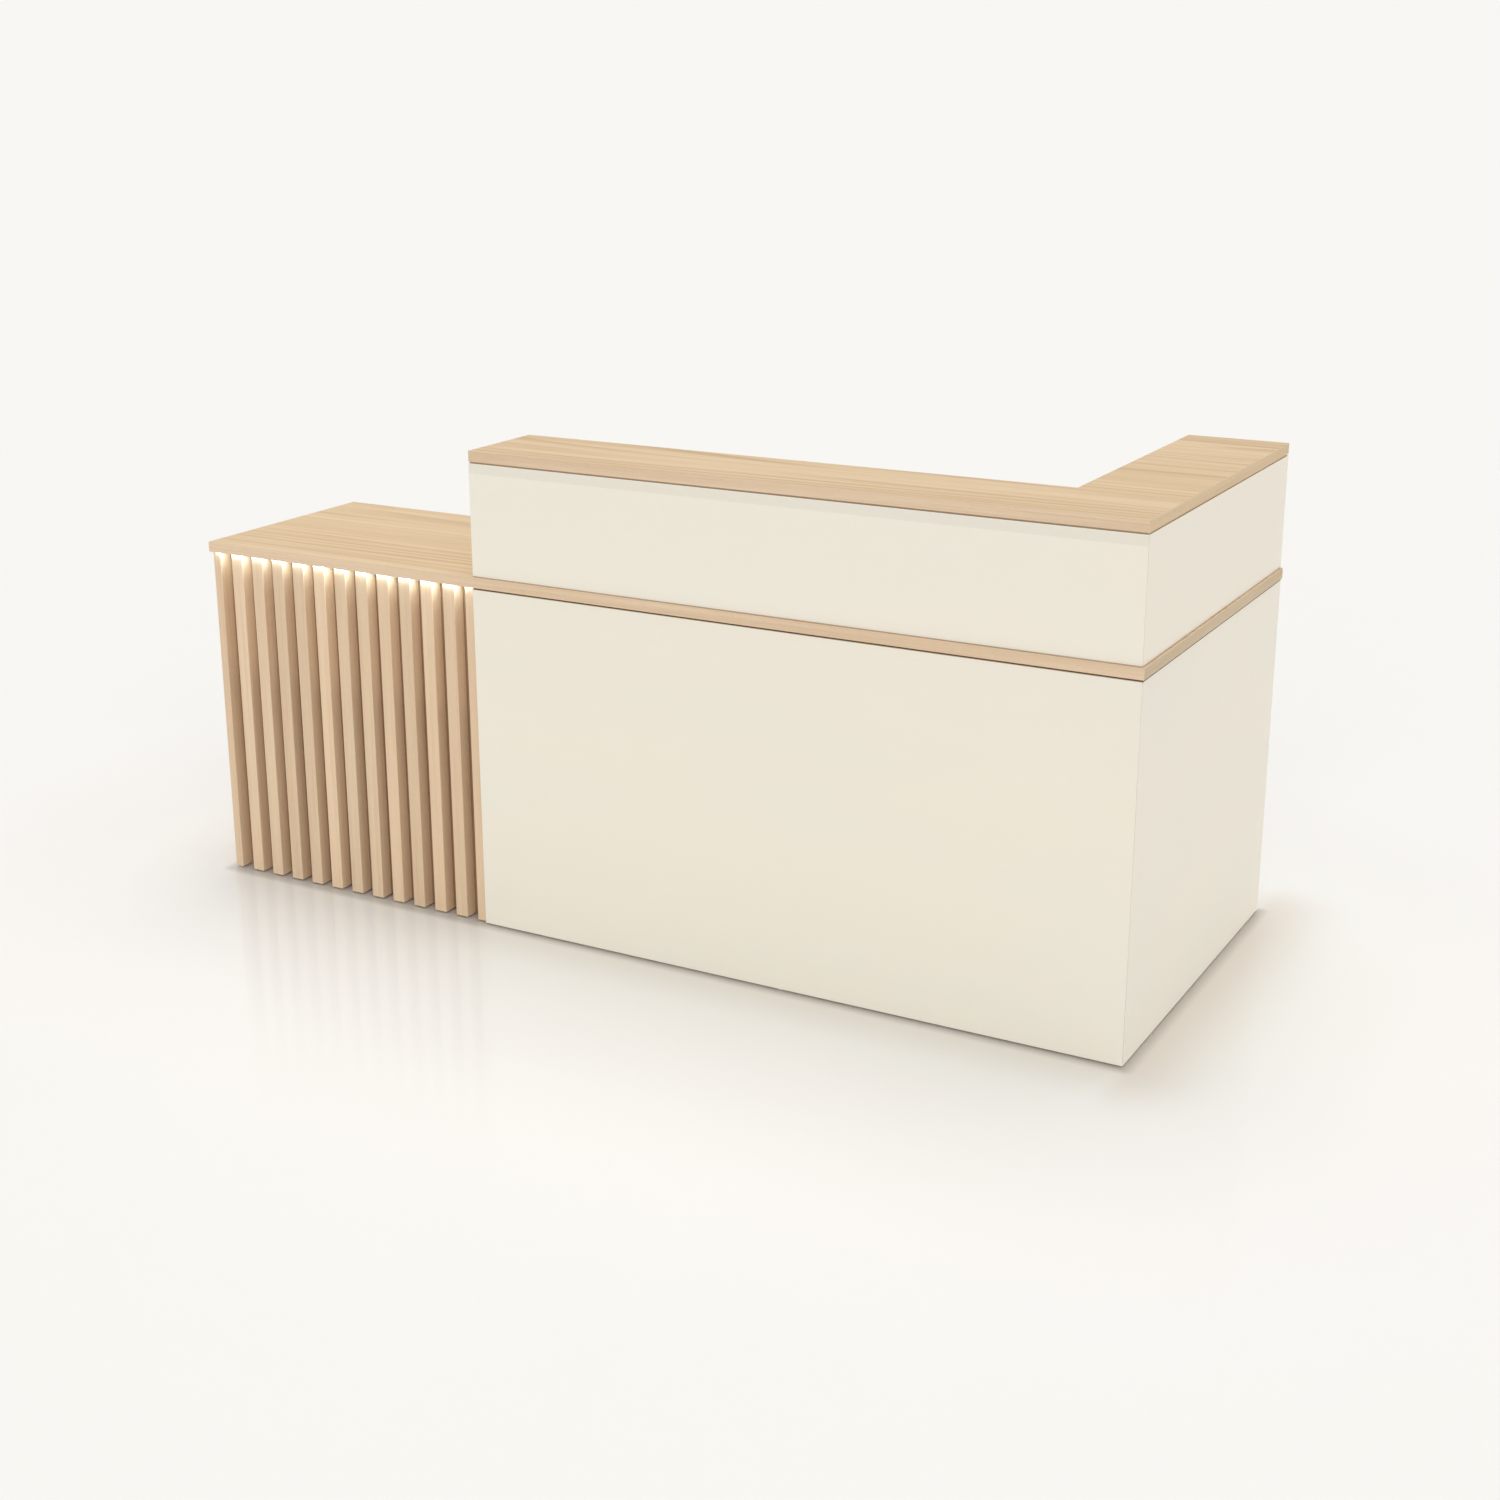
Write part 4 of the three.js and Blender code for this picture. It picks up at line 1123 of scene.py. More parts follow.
def tray(node):
    """Two sides, a back, a front and a base inside the node's box."""
    low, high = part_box(node)
    inner_low = low + Vector((TRAY_WALL, TRAY_WALL, 0))
    inner_high = high - Vector((TRAY_WALL, TRAY_WALL, 0))
    shape = bmesh.new()
    add_block(shape, low, (inner_low.x, high.y, high.z))
    add_block(shape, (inner_high.x, low.y, low.z), high)
    add_block(shape, (inner_low.x, low.y, low.z), (inner_high.x, inner_low.y, high.z))
    add_block(shape, (inner_low.x, inner_high.y, low.z), (inner_high.x, high.y, high.z))
    add_block(shape, (inner_low.x, inner_low.y, low.z), (inner_high.x, inner_high.y, low.z + TRAY_BASE))
    round_arrises(shape, TRAY_ARRIS)
    return shape


def bow_path(low, high, face, radius):
    """From one rosette out, across and back to the other."""
    middle = (low + high) / 2
    half = (high.x - low.x) / 2 - radius
    reach = high.y - radius
    path = []
    for side in (-1, 1):
        start = Vector((middle.x + side * half, reach - HANDLE_BEND, middle.z))
        corner = Vector((middle.x + side * half, reach, middle.z))
        end = Vector((middle.x + side * (half - HANDLE_BEND), reach, middle.z))
        bend = [Vector((start.x, face, middle.z))]
        for i in range(BEND_STEPS + 1):
            t = i / BEND_STEPS
            bend.append(start * (1 - t) ** 2 + corner * 2 * t * (1 - t) + end * t * t)
        path += bend if side < 0 else list(reversed(bend))
    return path


def bow_handle(node, face):
    """The bar and its two rosettes, which stand on the drawer's face."""
    low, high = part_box(node)
    radius = (high.z - low.z) / 2
    path = bow_path(low, high, face, radius)
    shape = bmesh.new()
    tube(shape, path, radius, HANDLE_SIDES)
    for foot in (path[0], path[-1]):
        outwards = Matrix.Translation(foot) @ Matrix.Rotation(-math.pi / 2, 4, "X")
        rings = [circle(r * MM, z * MM, HANDLE_SIDES) for r, z in ROSETTE]
        skin(shape, [tip(0)] + rings + [tip(ROSETTE[-1][1] * MM)], outwards)
    shade_round(shape)
    return shape


print("tray walls of", TRAY_WALL, "m")

# %% [markdown]
# Each drawer is a front, a tray, a handle and its half of two runners, and all of them ride on the
# drawer's body. The other half of each runner stays with the desk. Runners keep their sections from the
# frame, with the soft edges of rolled sheet.

# %% Drawers
RUNNER_ARRIS = 0.3 * MM

for name in ("upper", "lower"):
    body = "drawer_" + name
    front = "drawer_front_" + name
    finish_piece(rounded(front, front + "_board", [ivory_plain], PANEL_ARRIS), body, "ivory", front)
    box = shape_object(body + "_tray", tray("drawer_box_" + name), coated_board)
    finish_piece(box, body, "drawer_board", "drawer_box_" + name)
    bow_shape = bow_handle("drawer_handle_" + name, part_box(front)[1].y)
    bow = shape_object(body + "_bow", bow_shape, brushed_steel)
    finish_piece(bow, body, "steel", "drawer_handle_" + name)
    for side in ("left", "right"):
        for member, carrier in (("cabinet_runner", "desk"), ("drawer_runner", body)):
            rail = f"{member}_{name}_{side}"
            finish_piece(rounded(rail, rail + "_rail", [drawn_steel], RUNNER_ARRIS), carrier, "steel", rail)
    print(body, "tray", len(box.data.polygons), "faces, bow", len(bow.data.polygons), "faces")

# %% [markdown]
# The desk stands on eight levelling feet: a round pad on a threaded stud that screws into the board
# above. A real thread is one helix. Rings of two radii in turn look the same at this size, and they make
# a clean, closed mesh with few faces. Each foot rides on its own body, because each is set by itself.

# %% Levelling feet
FOOT_SIDES = 24
THREAD_PITCH = 1.25 * MM
THREAD_DEPTH = 0.6 * MM
STUD_RADIUS = 4 * MM
PAD_HEIGHT = 3.7 * MM
PAD_SOFT = 0.6 * MM


def foot_profile(radius, height):
    """Radius and height of each ring from the pad's underside to the top of the stud."""
    profile = [(radius - PAD_SOFT, 0), (radius, PAD_SOFT), (radius, PAD_HEIGHT - PAD_SOFT / 2)]
    profile += [(radius - PAD_SOFT / 2, PAD_HEIGHT), (STUD_RADIUS, PAD_HEIGHT)]
    for i in range(int((height - PAD_HEIGHT) / THREAD_PITCH) - 1):
        root = PAD_HEIGHT + (i + 0.5) * THREAD_PITCH
        profile += [(STUD_RADIUS - THREAD_DEPTH, root), (STUD_RADIUS, root + THREAD_PITCH / 2)]
    return profile + [(STUD_RADIUS - THREAD_DEPTH, height)]


for name in FEET:
    low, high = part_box(name)
    height = high.z - low.z
    middle = (low + high) / 2
    rings = [circle(r, z, FOOT_SIDES) for r, z in foot_profile((high.x - low.x) / 2, height)]
    foot_shape = bmesh.new()
    place = Matrix.Translation((middle.x, middle.y, low.z))
    skin(foot_shape, [tip(0)] + rings + [tip(height)], place)
    shade_round(foot_shape)
    foot = shape_object(name + "_stud", foot_shape, zinc_steel)
    finish_piece(foot, name, "zinc_steel", name)
print(len(FEET), "feet of", len(rings), "rings each")

# %% [markdown]
# Fixings are small shapes that repeat: screws, corner brackets, covers, diodes. One tree serves them
# all. It takes a mesh whose vertices are the places, reads a turn that is stored on each vertex, and
# puts a copy of the shape there. The copies become real geometry at the end, so that the piece is a
# plain mesh.

# %% A tree for repeated fixings


def spread_tree():
    """Copies of one shape on the points of a mesh, each turned as its point says."""
    tree, given, result = geometry_tree("spread_shape", Shape="Object", Scale="Float", Finish="Material")
    shape = add_node(tree, "GeometryNodeObjectInfo", Object=given["Shape"])
    stored = add_node(tree, "GeometryNodeInputNamedAttribute", {"data_type": "FLOAT_VECTOR"}, Name="turn")
    turned = add_node(tree, "FunctionNodeEulerToRotation", Euler=stored.outputs["Attribute"])
    copies = add_node(
        tree, "GeometryNodeInstanceOnPoints", Points=given["Geometry"], Instance=shape.outputs["Geometry"],
        Rotation=turned.outputs[0], Scale=given["Scale"],
    )
    return end_tree(tree, result, copies.outputs[0], given["Finish"])


SPREAD = spread_tree()


def facing(direction):
    """The turn that points a shape's top along a direction."""
    return Vector(direction).to_track_quat("Z", "Y").to_euler()


def spread(name, shape, places, finish, body, slot):
    """Copies of a shape at places, each a point and a turn, as one piece."""
    start = bpy.data.meshes.new(name)
    start.from_pydata([point for point, turn in places], [], [])
    stored = start.attributes.new("turn", "FLOAT_VECTOR", "POINT")
    for item, (point, turn) in zip(stored.data, places):
        item.vector = turn[:]
    pattern = shape_object(name + "_pattern", shape)
    made = run_tree(name, SPREAD, start, {"Shape": pattern, "Scale": 1.0, "Finish": finish})
    bpy.data.objects.remove(pattern)
    finish_piece(made, body, slot)
    print(name, len(places), "copies,", len(made.data.polygons), "faces")


print("fixing tools are ready")

# %% [markdown]
# Every screw has one head: a flat dome with a hexagon socket. It has only six dozen faces, because there
# are about a hundred of them. Its two profiles are parts of the radius and of the height. Below the head
# there is nothing, since the board hides it.

# %% Screw head
SCREW_RADIUS = 3.4 * MM
SCREW_HEIGHT = 1.8 * MM
SCREW_SIDES = 12
DOME_PROFILE = ((1.0, 0.0), (0.97, 0.5), (0.78, 0.9))
SOCKET_PROFILE = ((0.48, 1.0), (0.46, 0.35))
HEXAGON = math.cos(math.pi / 6)


def screw_head(radius=SCREW_RADIUS, height=SCREW_HEIGHT):
    """A flat dome with a hexagon socket, standing on the origin."""
    rings = [circle(radius * r, height * z, SCREW_SIDES) for r, z in DOME_PROFILE]
    rings += [circle(radius * r, height * z, SCREW_SIDES, HEXAGON) for r, z in SOCKET_PROFILE]
    shape = bmesh.new()
    skin(shape, [tip(0)] + rings + [tip(height * SOCKET_PROFILE[-1][1])])
    shade_round(shape)
    return shape


print("screw heads", 2 * SCREW_RADIUS, "m across")

# %% [markdown]
# Brackets hold the tops down. They sit in the inner corners between an upright board and a top, at parts
# of the board's length, so they move with the board if its size changes. Each has a screw in either leg.
# The outline of the L is drawn once, with the rounded inner bend of folded sheet, and pushed to its
# width.

# %% Brackets under the tops
BRACKET_LEG = 24 * MM
BRACKET_WIDTH = 18 * MM
BRACKET_METAL = 2 * MM
BRACKET_FILLET = 4 * MM
BRACKET_ARRIS = 0.4 * MM
BRACKET_SCREW = 15 * MM
BRACKET_ROWS = (
    ("left_gable", "worktop", (1, 0, 0), (0.16, 0.72)),
    ("mid_gable", "worktop", (1, 0, 0), (0.12, 0.5, 0.88)),
    ("cabinet_partition", "worktop", (-1, 0, 0), (0.25, 0.85)),
    ("lower_front_panel", "worktop", (0, 1, 0), (0.2, 0.45, 0.7, 0.9)),
    ("lower_end_panel", "worktop", (-1, 0, 0), (0.2, 0.5, 0.8)),
    ("wing_rear_panel", "worktop", (0, -1, 0), (0.2, 0.8)),
    ("upper_front_panel", "counter_top", (0, 1, 0), (0.12, 0.3, 0.58, 0.75)),
    ("upper_end_panel", "counter_top", (-1, 0, 0), (0.35, 0.5, 0.82)),
)


def bracket_shape():
    """An L of sheet metal. Its corner is at the origin, one leg along X and one down."""
    outline = [(0, 0), (BRACKET_LEG, 0), (BRACKET_LEG, -BRACKET_METAL)]
    centre = BRACKET_METAL + BRACKET_FILLET
    for i in range(QUARTER_STEPS + 1):
        turn = math.pi / 2 + math.pi / 2 * i / QUARTER_STEPS
        outline.append((centre + BRACKET_FILLET * math.cos(turn), BRACKET_FILLET * math.sin(turn) - centre))
    outline += [(BRACKET_METAL, -BRACKET_LEG), (0, -BRACKET_LEG)]
    shape = bmesh.new()
    points = [Vector((x, -BRACKET_WIDTH / 2, z)) for x, z in outline]
    prism(shape, points, Vector((0, BRACKET_WIDTH, 0)))
    round_arrises(shape, BRACKET_ARRIS, segments=1)
    return shape


def bracket_places():
    """The corner of each bracket and the direction of its upper leg."""
    for upright, top, direction, parts in BRACKET_ROWS:
        low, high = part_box(upright)
        inwards = Vector(direction)
        for part in parts:
            corner = low.lerp(high, part)
            for i in (0, 1):
                if inwards[i]:
                    corner[i] = high[i] if inwards[i] > 0 else low[i]
            corner.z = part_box(top)[0].z
            yield corner, inwards


brackets = []
bracket_screws = []
for corner, way in bracket_places():
    brackets.append((corner, (0, 0, math.atan2(way.y, way.x))))
    under = corner + way * BRACKET_SCREW - Vector((0, 0, BRACKET_METAL))
    beside = corner + way * BRACKET_METAL - Vector((0, 0, BRACKET_SCREW))
    bracket_screws += [(under, facing((0, 0, -1))), (beside, facing(way))]
spread("corner_brackets", bracket_shape(), brackets, zinc_steel, "desk", "zinc_steel")
spread("bracket_screws", screw_head(), bracket_screws, zinc_steel, "desk", "zinc_steel")

# %% [markdown]
# The slats are screwed on from behind, three screws to a stick, and the heads show in the niche. The
# partition of the cabinet stands in front of one row, so that row moves just beside it, as a fitter
# would do.

# %% Screws behind the slats
SLAT_SCREW_PARTS = (0.16, 0.55, 0.93)

backing_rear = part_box("slat_backing")[1].y
wall_low, wall_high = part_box("cabinet_partition")
slat_screws = []
for low, high in slat_boxes:
    x = (low.x + high.x) / 2
    if wall_low.x - 2 * SCREW_RADIUS < x < wall_high.x + 2 * SCREW_RADIUS:
        x = wall_high.x + 2 * SCREW_RADIUS
    for part in SLAT_SCREW_PARTS:
        z = low.z + (high.z - low.z) * part
        slat_screws.append((Vector((x, backing_rear, z)), facing((0, 1, 0))))
spread("slat_screws", screw_head(), slat_screws, zinc_steel, "desk", "zinc_steel")

# %% [markdown]
# The ivory boards are drawn together by cam fittings, and a pressed-in plastic cover hides each cam. The
# covers sit at one distance from the edge where two boards meet. They stand barely proud of the facing,
# with a soft rim that catches a thin ring of light.

# %% Covers of the board joints
COVER_RADIUS = 8.5 * MM
COVER_INSET = 34 * MM
COVER_SIDES = 20
COVER_PROFILE = ((1.0, 0.0), (1.0, 0.5 * MM), (0.94, 1.0 * MM))
COVER_HEIGHT = 1.2 * MM
COVERS = (
    ("mid_gable", (1, 0, 0), "y", (0.15, 0.5, 0.85)),
    ("wing_rear_panel", (0, -1, 0), "-x", (0.15, 0.5, 0.85)),
    ("upper_left_cap", (1, 0, 0), "y", (0.3, 0.7)),
    ("upper_rear_cap", (0, -1, 0), "-x", (0.3, 0.7)),
    ("counter_support_1", (-1, 0, 0), "y", (0.3, 0.7)),
    ("counter_support_2", (-1, 0, 0), "y", (0.3, 0.7)),
)

covers = []
for board, direction, edge, parts in COVERS:
    low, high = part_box(board)
    way = Vector(direction)
    for part in parts:
        spot = low.lerp(high, part)
        if edge == "y":
            spot.x = high.x if way.x > 0 else low.x
            spot.y = low.y + COVER_INSET
        else:
            spot.x = high.x - COVER_INSET
            spot.y = low.y
        covers.append((spot, facing(way)))
cover_shape = bmesh.new()
cover_rings = [circle(COVER_RADIUS * r, z, COVER_SIDES) for r, z in COVER_PROFILE]
skin(cover_shape, [tip(0)] + cover_rings + [tip(COVER_HEIGHT)])
shade_round(cover_shape)
spread("joint_covers", cover_shape, covers, cover_plastic, "desk", "white_plastic")

# %% [markdown]
# Three more rows belong to the light: the diodes on their tape, the ribs that cool the driver, and the
# ears that it hangs from. All are small rounded blocks that stand on the point they are spread to, so
# one block function and the same tree make them.

# %% Small parts of the light
CHIP = Vector((2.8, 2.8, 0.6)) * MM
CHIP_ARRIS = 0.1 * MM
RIB = Vector((38, 2.2, 0.8)) * MM
RIB_ARRIS = 0.35 * MM
RIB_COUNT = 12
RIB_PITCH = 6 * MM
EAR = Vector((14, 22, 2)) * MM
EAR_ARRIS = 0.5 * MM
EAR_PARTS = (0.2, 0.8)


def soft_block(size, arris):
    """A block that stands on the origin, rounded."""
    shape = bmesh.new()
    add_block(shape, (-size.x / 2, -size.y / 2, 0), (size.x / 2, size.y / 2, size.z))
    round_arrises(shape, arris, segments=2)
    return shape


down = facing((0, 0, -1))
tape_low, tape_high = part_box("led_tape")
chip_count = int((tape_high.x - tape_low.x) / LED_PITCH)
chips = []
for i in range(chip_count):
    x = tape_low.x + (i + 0.5) * (tape_high.x - tape_low.x) / chip_count
    chips.append((Vector((x, (tape_low.y + tape_high.y) / 2, tape_low.z)), down))
spread("led_chips", soft_block(CHIP, CHIP_ARRIS), chips, white_plastic, "desk", "white_plastic")

ribs = []
for i in range(RIB_COUNT):
    y = driver_middle.y + (i - (RIB_COUNT - 1) / 2) * RIB_PITCH
    ribs.append((Vector((driver_middle.x, y, driver_low.z)), down))
spread("driver_ribs", soft_block(RIB, RIB_ARRIS), ribs, white_plastic, "desk", "white_plastic")

ears = []
ear_screws = []
for side in (-1, 1):
    x = driver_middle.x + side * ((driver_high.x - driver_low.x) / 2 + EAR.x / 2)
    for part in EAR_PARTS:
        y = driver_low.y + (driver_high.y - driver_low.y) * part
        spot = Vector((x, y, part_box("worktop")[0].z))
        ears.append((spot, down))
        ear_screws.append((spot - Vector((0, 0, EAR.z)), down))
spread("driver_ears", soft_block(EAR, EAR_ARRIS), ears, white_plastic, "desk", "white_plastic")
spread("driver_screws", screw_head(), ear_screws, zinc_steel, "desk", "zinc_steel")

# %% [markdown]
# An open drawer shows the screws that hold its front: two behind the handle's feet and four near the
# corners. They are found from the boxes of the tray and the handle, and they ride on the drawer.

# %% Screws inside the drawers
FRONT_SCREW_SIDE = 55 * MM
FRONT_SCREW_RISE = 30 * MM
FRONT_SCREW_RADIUS = 1.2 * SCREW_RADIUS

for name in ("upper", "lower"):
    low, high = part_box("drawer_box_" + name)
    bow_low, bow_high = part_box("drawer_handle_" + name)
    bow_radius = (bow_high.z - bow_low.z) / 2
    wall = high.y - TRAY_WALL
    spots = []
    for x in (bow_low.x + bow_radius, bow_high.x - bow_radius):
        spots.append(Vector((x, wall, (bow_low.z + bow_high.z) / 2)))
    for x in (low.x + FRONT_SCREW_SIDE, high.x - FRONT_SCREW_SIDE):
        for z in (low.z + FRONT_SCREW_RISE, high.z - FRONT_SCREW_RISE):
            spots.append(Vector((x, wall, z)))
    places = [(spot, facing((0, -1, 0))) for spot in spots]
    head = screw_head(FRONT_SCREW_RADIUS)
    spread(f"drawer_{name}_screws", head, places, zinc_steel, "drawer_" + name, "zinc_steel")

# %% [markdown]
# The studio has to be almost white. Lamps bright enough to burn it out would also burn out the desk, so
# the backdrop is a colour that only camera, mirror and glass rays see, and the light that falls on the
# desk stays at a plain level. Two suns as wide as a studio cloth light the tops and the front, with soft
# shadows.

# %% Backdrop and light
BACKDROP = linear(248, 247, 243)
SKY_STRENGTH = 0.60
SUNS = {
    "top_light": ((0.06, -0.23, -1.0), 44, 1.0),
    "front_light": ((-0.44, 0.83, -0.38), 60, 0.77),
}

world = bpy.data.worlds.new("studio")
scene.world = world
world.use_nodes = True
sky = world.node_tree
light = sky.nodes["Background"]
light.inputs["Color"].default_value = linear(255, 255, 255)
light.inputs["Strength"].default_value = SKY_STRENGTH
backdrop = sky.nodes.new("ShaderNodeBackground")
backdrop.inputs["Color"].default_value = BACKDROP
rays = sky.nodes.new("ShaderNodeLightPath").outputs
seen = math_node(sky, "MAXIMUM", rays["Is Camera Ray"], rays["Is Glossy Ray"])
seen = math_node(sky, "MAXIMUM", seen, rays["Is Transmission Ray"])


def mix_shader(tree, factor, first, second):
    """The first shader where factor is 0, and the second where it is 1."""
    mixed = tree.nodes.new("ShaderNodeMixShader")
    for socket, value in zip(mixed.inputs, (factor, first, second)):
        tree.links.new(value, socket)
    return mixed.outputs[0]


def soft_sun(name, towards, spread_angle, strength):
    """A sun as wide as a studio cloth, with soft shadows. Only rough surfaces show it, no sharp mirror."""
    data = bpy.data.lights.new(name, "SUN")
    data.angle = math.radians(spread_angle)
    data.energy = strength
    data.cycles.use_multiple_importance_sampling = False
    lamp = add_object(name, data)
    lamp.rotation_mode = "QUATERNION"
    lamp.rotation_quaternion = Vector(towards).to_track_quat("-Z", "Y")


surface = mix_shader(sky, seen, light.outputs[0], backdrop.outputs[0])
sky.links.new(surface, sky.nodes["World Output"].inputs["Surface"])
for name, (towards, spread_angle, strength) in SUNS.items():
    soft_sun(name, towards, spread_angle, strength)
scene.view_settings.view_transform = "Standard"
print("sky at", SKY_STRENGTH, "and", len(bpy.data.lights), "lamps")

# %% [markdown]
# The light line gets one long lamp just under the opal cover, which whitens the slat heads, and a small
# lamp at the top of each gap between two slats. These lamps are a little cool, because wood warms what
# it throws back. Further down, the sides of two slats throw the light to and fro many times. A pair of
# weak, warm lamps in the middle of the gap stands for that, one for each side. Neither the camera nor a
# mirror sees any of them.

# %% Lamps of the light line
LINE_LAMP_POWER = 0.27
LINE_LAMP_WIDTH = 2 * MM
LINE_LAMP_AHEAD = 1.4 * MM
GAP_LAMP_POWER = 0.0105
GAP_LAMP_SIZE = (16 * MM, 8 * MM)
GAP_LAMP_BEHIND = 6 * MM
LAMP_BELOW = 0.4 * MM
LAMP_COLOUR = linear(208, 238, 255)[:3]
GLOW_POWER = 0.0020
GLOW_SIZE = (280 * MM, 24 * MM)
GLOW_BELOW = 143 * MM
GLOW_COLOUR = linear(255, 241, 231)[:3]
GLOW_TURNS = (("left", math.pi / 2), ("right", -math.pi / 2))


def flat_lamp(name, shape, power, size, colour, place, turn=0.0):
    """A lamp that shines down, or sideways after a turn, and that neither the camera nor a mirror sees."""
    data = bpy.data.lights.new(name, "AREA")
    data.shape = shape
    data.size, data.size_y = size
    data.energy = power
    data.color = colour
    lamp = add_object(name, data)
    lamp.location = place
    lamp.rotation_euler = (0, turn, 0)
    lamp.visible_camera = False
    lamp.visible_glossy = False


gap_width = slat_boxes[1][0].x - slat_boxes[0][1].x
cover_low, cover_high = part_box("led_diffuser")
lamp_height = cover_low.z - LAMP_BELOW
line_place = ((cover_low.x + cover_high.x) / 2, first_low.y - LINE_LAMP_AHEAD, lamp_height)
line_size = (cover_high.x - cover_low.x, LINE_LAMP_WIDTH)
flat_lamp("line_lamp", "RECTANGLE", LINE_LAMP_POWER, line_size, LAMP_COLOUR, line_place)
for number, (low, high) in enumerate(slat_boxes, 1):
    gap_place = (low.x - gap_width / 2, low.y + GAP_LAMP_BEHIND, lamp_height)
    flat_lamp(f"gap_lamp_{number}", "RECTANGLE", GAP_LAMP_POWER, GAP_LAMP_SIZE, LAMP_COLOUR, gap_place)
    glow_place = (low.x - gap_width / 2, (low.y + high.y) / 2, lamp_height - GLOW_BELOW)
    for side, turn in GLOW_TURNS:
        flat_lamp(f"glow_{number}_{side}", "ELLIPSE", GLOW_POWER, GLOW_SIZE, GLOW_COLOUR, glow_place, turn)
print(len(bpy.data.lights), "lamps")

# %% [markdown]
# The floor keeps the desk's own shadow. What it lacks is the fine contact shadow where a board stands just
# above it, which soft light washes out. So shade and light are painted into the floor's colour by the
# distance to the desk: a dark painted contact shadow right at the boards, painted shade for a hand's
# width, more beside the tall end, and painted light, a little paler, further out. The distance is the
# shortest one to four rectangles that together are the desk's plan. Before the slats the floor is shaded
# less, because their mirror image darkens it there. Only camera rays see this colour, so that it doesn't
# tint the light that the floor throws back. Other rays see a plain colour a little brighter than the
# floor, which adds painted bounce light.

# %% Shade at the foot of the desk
FLOOR_COLOUR = linear(248, 247, 243)
FLOOR_WORN = linear(247, 246, 242)
# Painted light: a paler ring round the desk, and a slightly brighter colour for bounced light.
FLOOR_PAINTED_LIGHT = linear(249, 247, 244)
FLOOR_BOUNCE = linear(254, 252, 248)
FLOOR_WEAR_SIZE = (0.6, 0.6, 0.6)
# Painted shade and a painted contact shadow on the floor near the desk.
SHADE_COLOUR = linear(214, 194, 172)
CONTACT_SHADOW_COLOUR = linear(110, 96, 84)
SHADE_REACH = 0.16
SHADE_AMOUNT = 0.26
SLAT_SHADE = 0.35
SLAT_SOFT = 0.06
END_REACH = 0.22
END_AMOUNT = 0.3
CONTACT_SHADOW_REACH = 0.026
CONTACT_SHADOW_AMOUNT = 0.36
PAINTED_LIGHT_REACH = (0.1, 0.3, 0.6, 1.1)
desk_low, desk_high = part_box("worktop")
BLOCKS = (
    (desk_low.x, desk_high.x, desk_low.y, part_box("lower_front_panel")[1].y),
    (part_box("lower_end_panel")[0].x, desk_high.x, desk_low.y, desk_high.y),
    (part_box("wing_rear_panel")[0].x, desk_high.x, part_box("wing_rear_panel")[0].y, desk_high.y),
    (desk_low.x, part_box("mid_gable")[1].x, desk_low.y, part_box("left_gable")[1].y),
)


def away_from(tree, found, block):
    """The distance on the floor to a rectangle of low and high x and y, and 0 inside it."""
    squares = []
    for axis, low, high in (("X", block[0], block[1]), ("Y", block[2], block[3])):
        beside = math_node(tree, "SUBTRACT", found[axis], (low + high) / 2)
        outside = math_node(tree, "SUBTRACT", math_node(tree, "ABSOLUTE", beside), (high - low) / 2)
        squares.append(math_node(tree, "POWER", math_node(tree, "MAXIMUM", outside, 0.0), 2.0))
    return math_node(tree, "SQRT", math_node(tree, "ADD", *squares))


def floor_colour(tree, place, along, distance):
    """Painted shade right at the desk and painted light further out, but a plain, slightly brighter colour
    for bounced light.
    """
    wear = cloud(tree, place, FLOOR_WEAR_SIZE)
    plain = mix_colour(tree, wear, FLOOR_COLOUR, FLOOR_WORN)
    # Painted light: a paler ring a little way from the desk.
    near, full, start, end = PAINTED_LIGHT_REACH
    fading = remap(tree, distance, start, end, 1.0, 0.0)
    ring = math_node(tree, "MULTIPLY", remap(tree, distance, near, full), fading)
    seen = mix_colour(tree, ring, plain, FLOOR_PAINTED_LIGHT)
    shade = remap(tree, distance, 0.0, SHADE_REACH, SHADE_AMOUNT, 0.0)
    beside_slats = remap(tree, along, last_high.x - SLAT_SOFT, last_high.x + SLAT_SOFT, SLAT_SHADE, 1.0)
    seen = mix_colour(tree, math_node(tree, "MULTIPLY", shade, beside_slats), seen, SHADE_COLOUR)
    at_end = remap(tree, along, desk_high.x - CONTACT_SHADOW_REACH, desk_high.x + CONTACT_SHADOW_REACH)
    end_shade = remap(tree, distance, 0.0, END_REACH, END_AMOUNT, 0.0)
    seen = mix_colour(tree, math_node(tree, "MULTIPLY", at_end, end_shade), seen, SHADE_COLOUR)
    # Painted contact shadow right at the boards.
    contact_shadow = remap(tree, distance, 0.0, CONTACT_SHADOW_REACH, CONTACT_SHADOW_AMOUNT, 0.0)
    seen = mix_colour(tree, contact_shadow, seen, CONTACT_SHADOW_COLOUR)
    rays = tree.nodes.new("ShaderNodeLightPath").outputs
    return mix_colour(tree, rays["Is Camera Ray"], FLOOR_BOUNCE, seen)


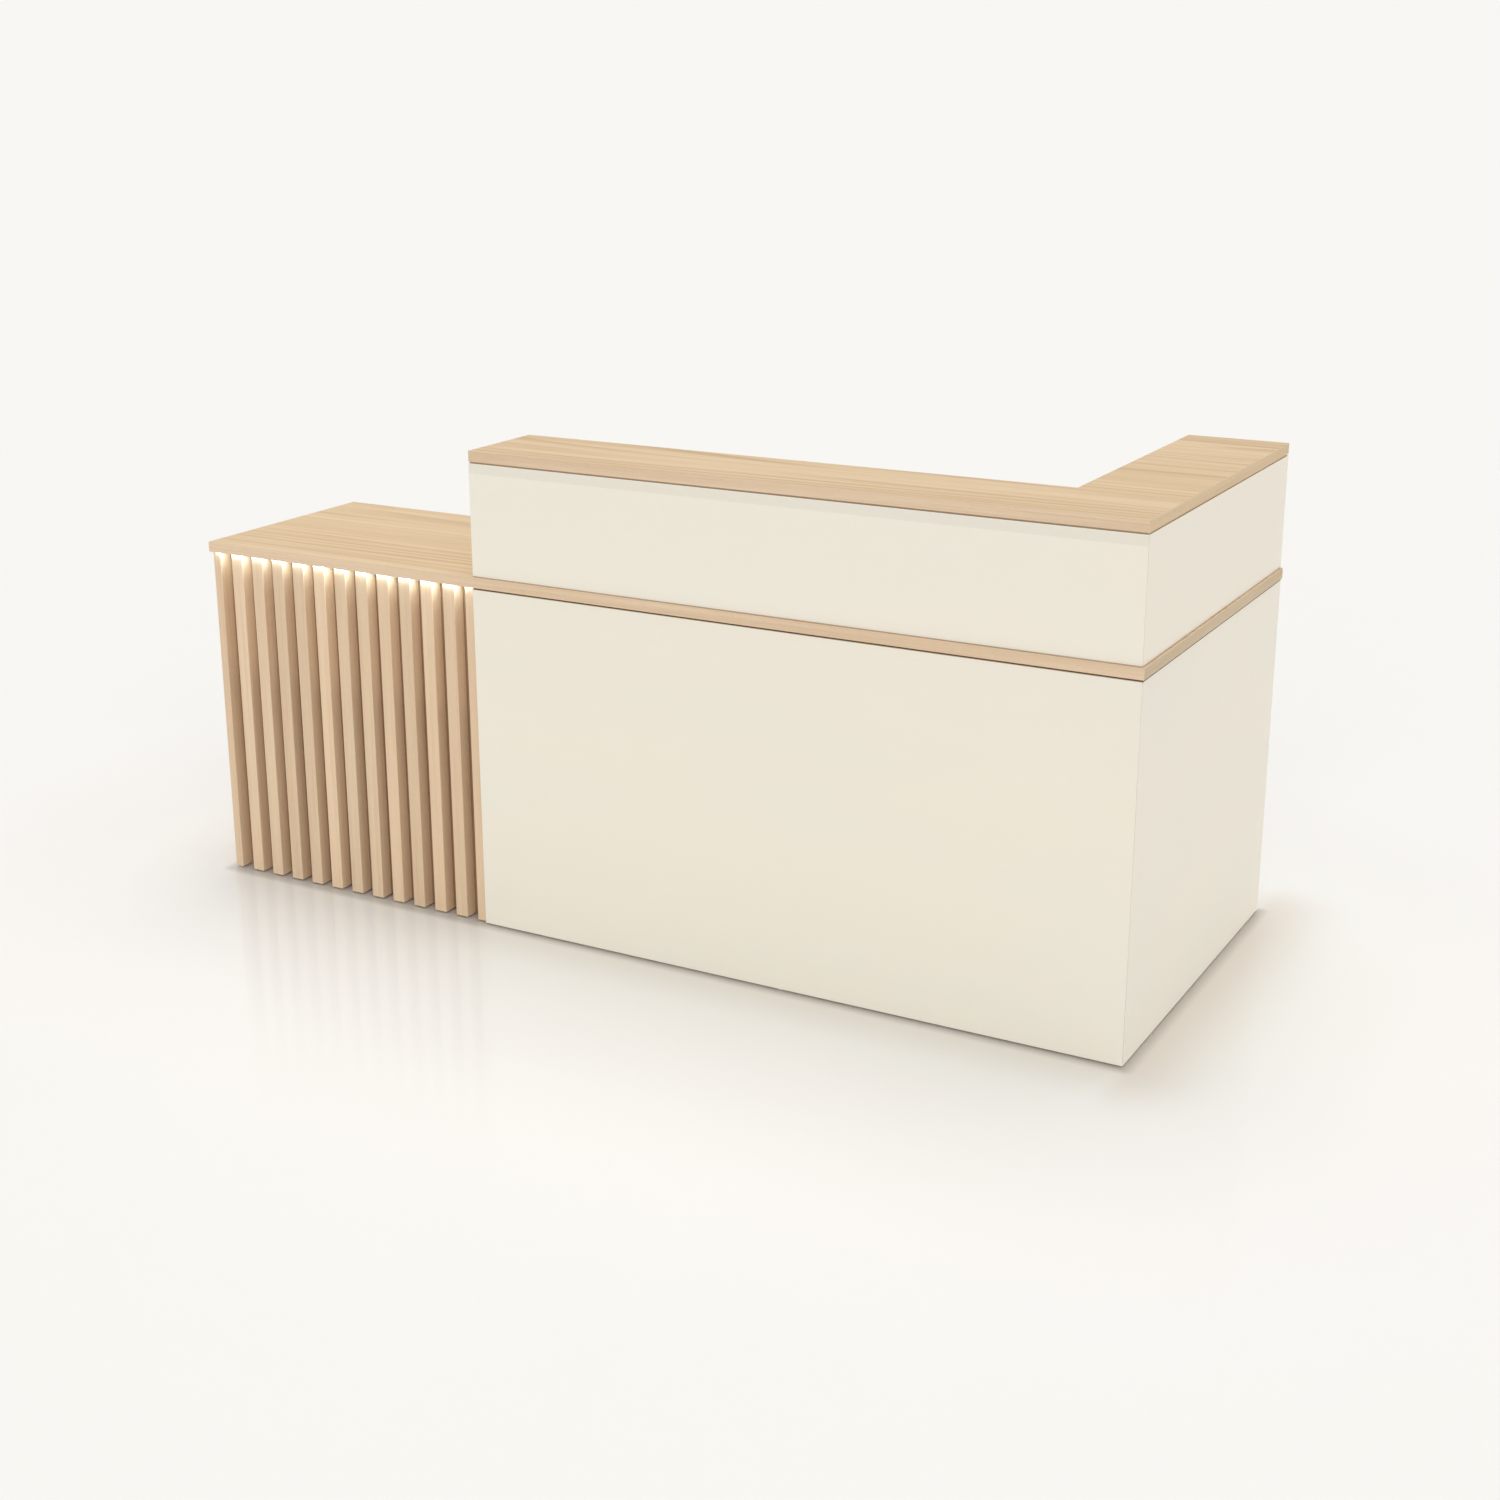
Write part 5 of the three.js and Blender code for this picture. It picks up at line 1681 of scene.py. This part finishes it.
print("floor shade round", len(BLOCKS), "blocks")

# %% [markdown]
# The floor has a polish that mirrors the boards close to it, more at a flat angle than from above. It is
# a perfectly sharp mirror, and the suns light rough surfaces only, so they don't show in it as discs.
# Far out the floor has to melt into the backdrop without a horizon. A curved studio cloth would do that
# in one view only, so the floor turns clear with the distance, from every side alike.

# %% Floor
FLOOR_SIDE = 16.0
FLOOR_CELLS = 8
FLOOR_GLOSS = 0.92
GLOSS_MOST = 0.45
FLOOR_IOR = 1.45
FLOOR_FADE = (3.2, 6.5)
MIRROR_REACH = (0.3, 0.95)


def floor_finish():
    """A pale floor with its shade, a polish near the desk, and nothing far out."""
    material, tree, shader = new_finish("studio_floor", roughness=0.9, specular=0.0)
    place = object_place(tree)
    found = axes(tree, place)
    distance = away_from(tree, found, BLOCKS[0])
    for block in BLOCKS[1:]:
        distance = math_node(tree, "MINIMUM", distance, away_from(tree, found, block))
    tree.links.new(floor_colour(tree, place, found["X"], distance), shader.inputs["Base Color"])
    mirror = tree.nodes.new("ShaderNodeBsdfGlossy")
    mirror.inputs["Roughness"].default_value = 0.0
    clear = tree.nodes.new("ShaderNodeBsdfTransparent")
    fresnel = tree.nodes.new("ShaderNodeFresnel")
    fresnel.inputs["IOR"].default_value = FLOOR_IOR
    reach = remap(tree, distance, *MIRROR_REACH, FLOOR_GLOSS, 0.0)
    gloss = math_node(tree, "MULTIPLY", fresnel.outputs[0], reach)
    gloss = math_node(tree, "MINIMUM", gloss, GLOSS_MOST)
    polished = mix_shader(tree, gloss, shader.outputs[0], mirror.outputs[0])
    faded = mix_shader(tree, remap(tree, distance, *FLOOR_FADE), polished, clear.outputs[0])
    tree.links.new(faded, tree.nodes["Material Output"].inputs["Surface"])
    return material


floor_shape = bmesh.new()
bmesh.ops.create_grid(floor_shape, x_segments=FLOOR_CELLS, y_segments=FLOOR_CELLS, size=FLOOR_SIDE / 2)
floor = shape_object("studio_floor", floor_shape, floor_finish())
print("floor of", FLOOR_SIDE, "m")
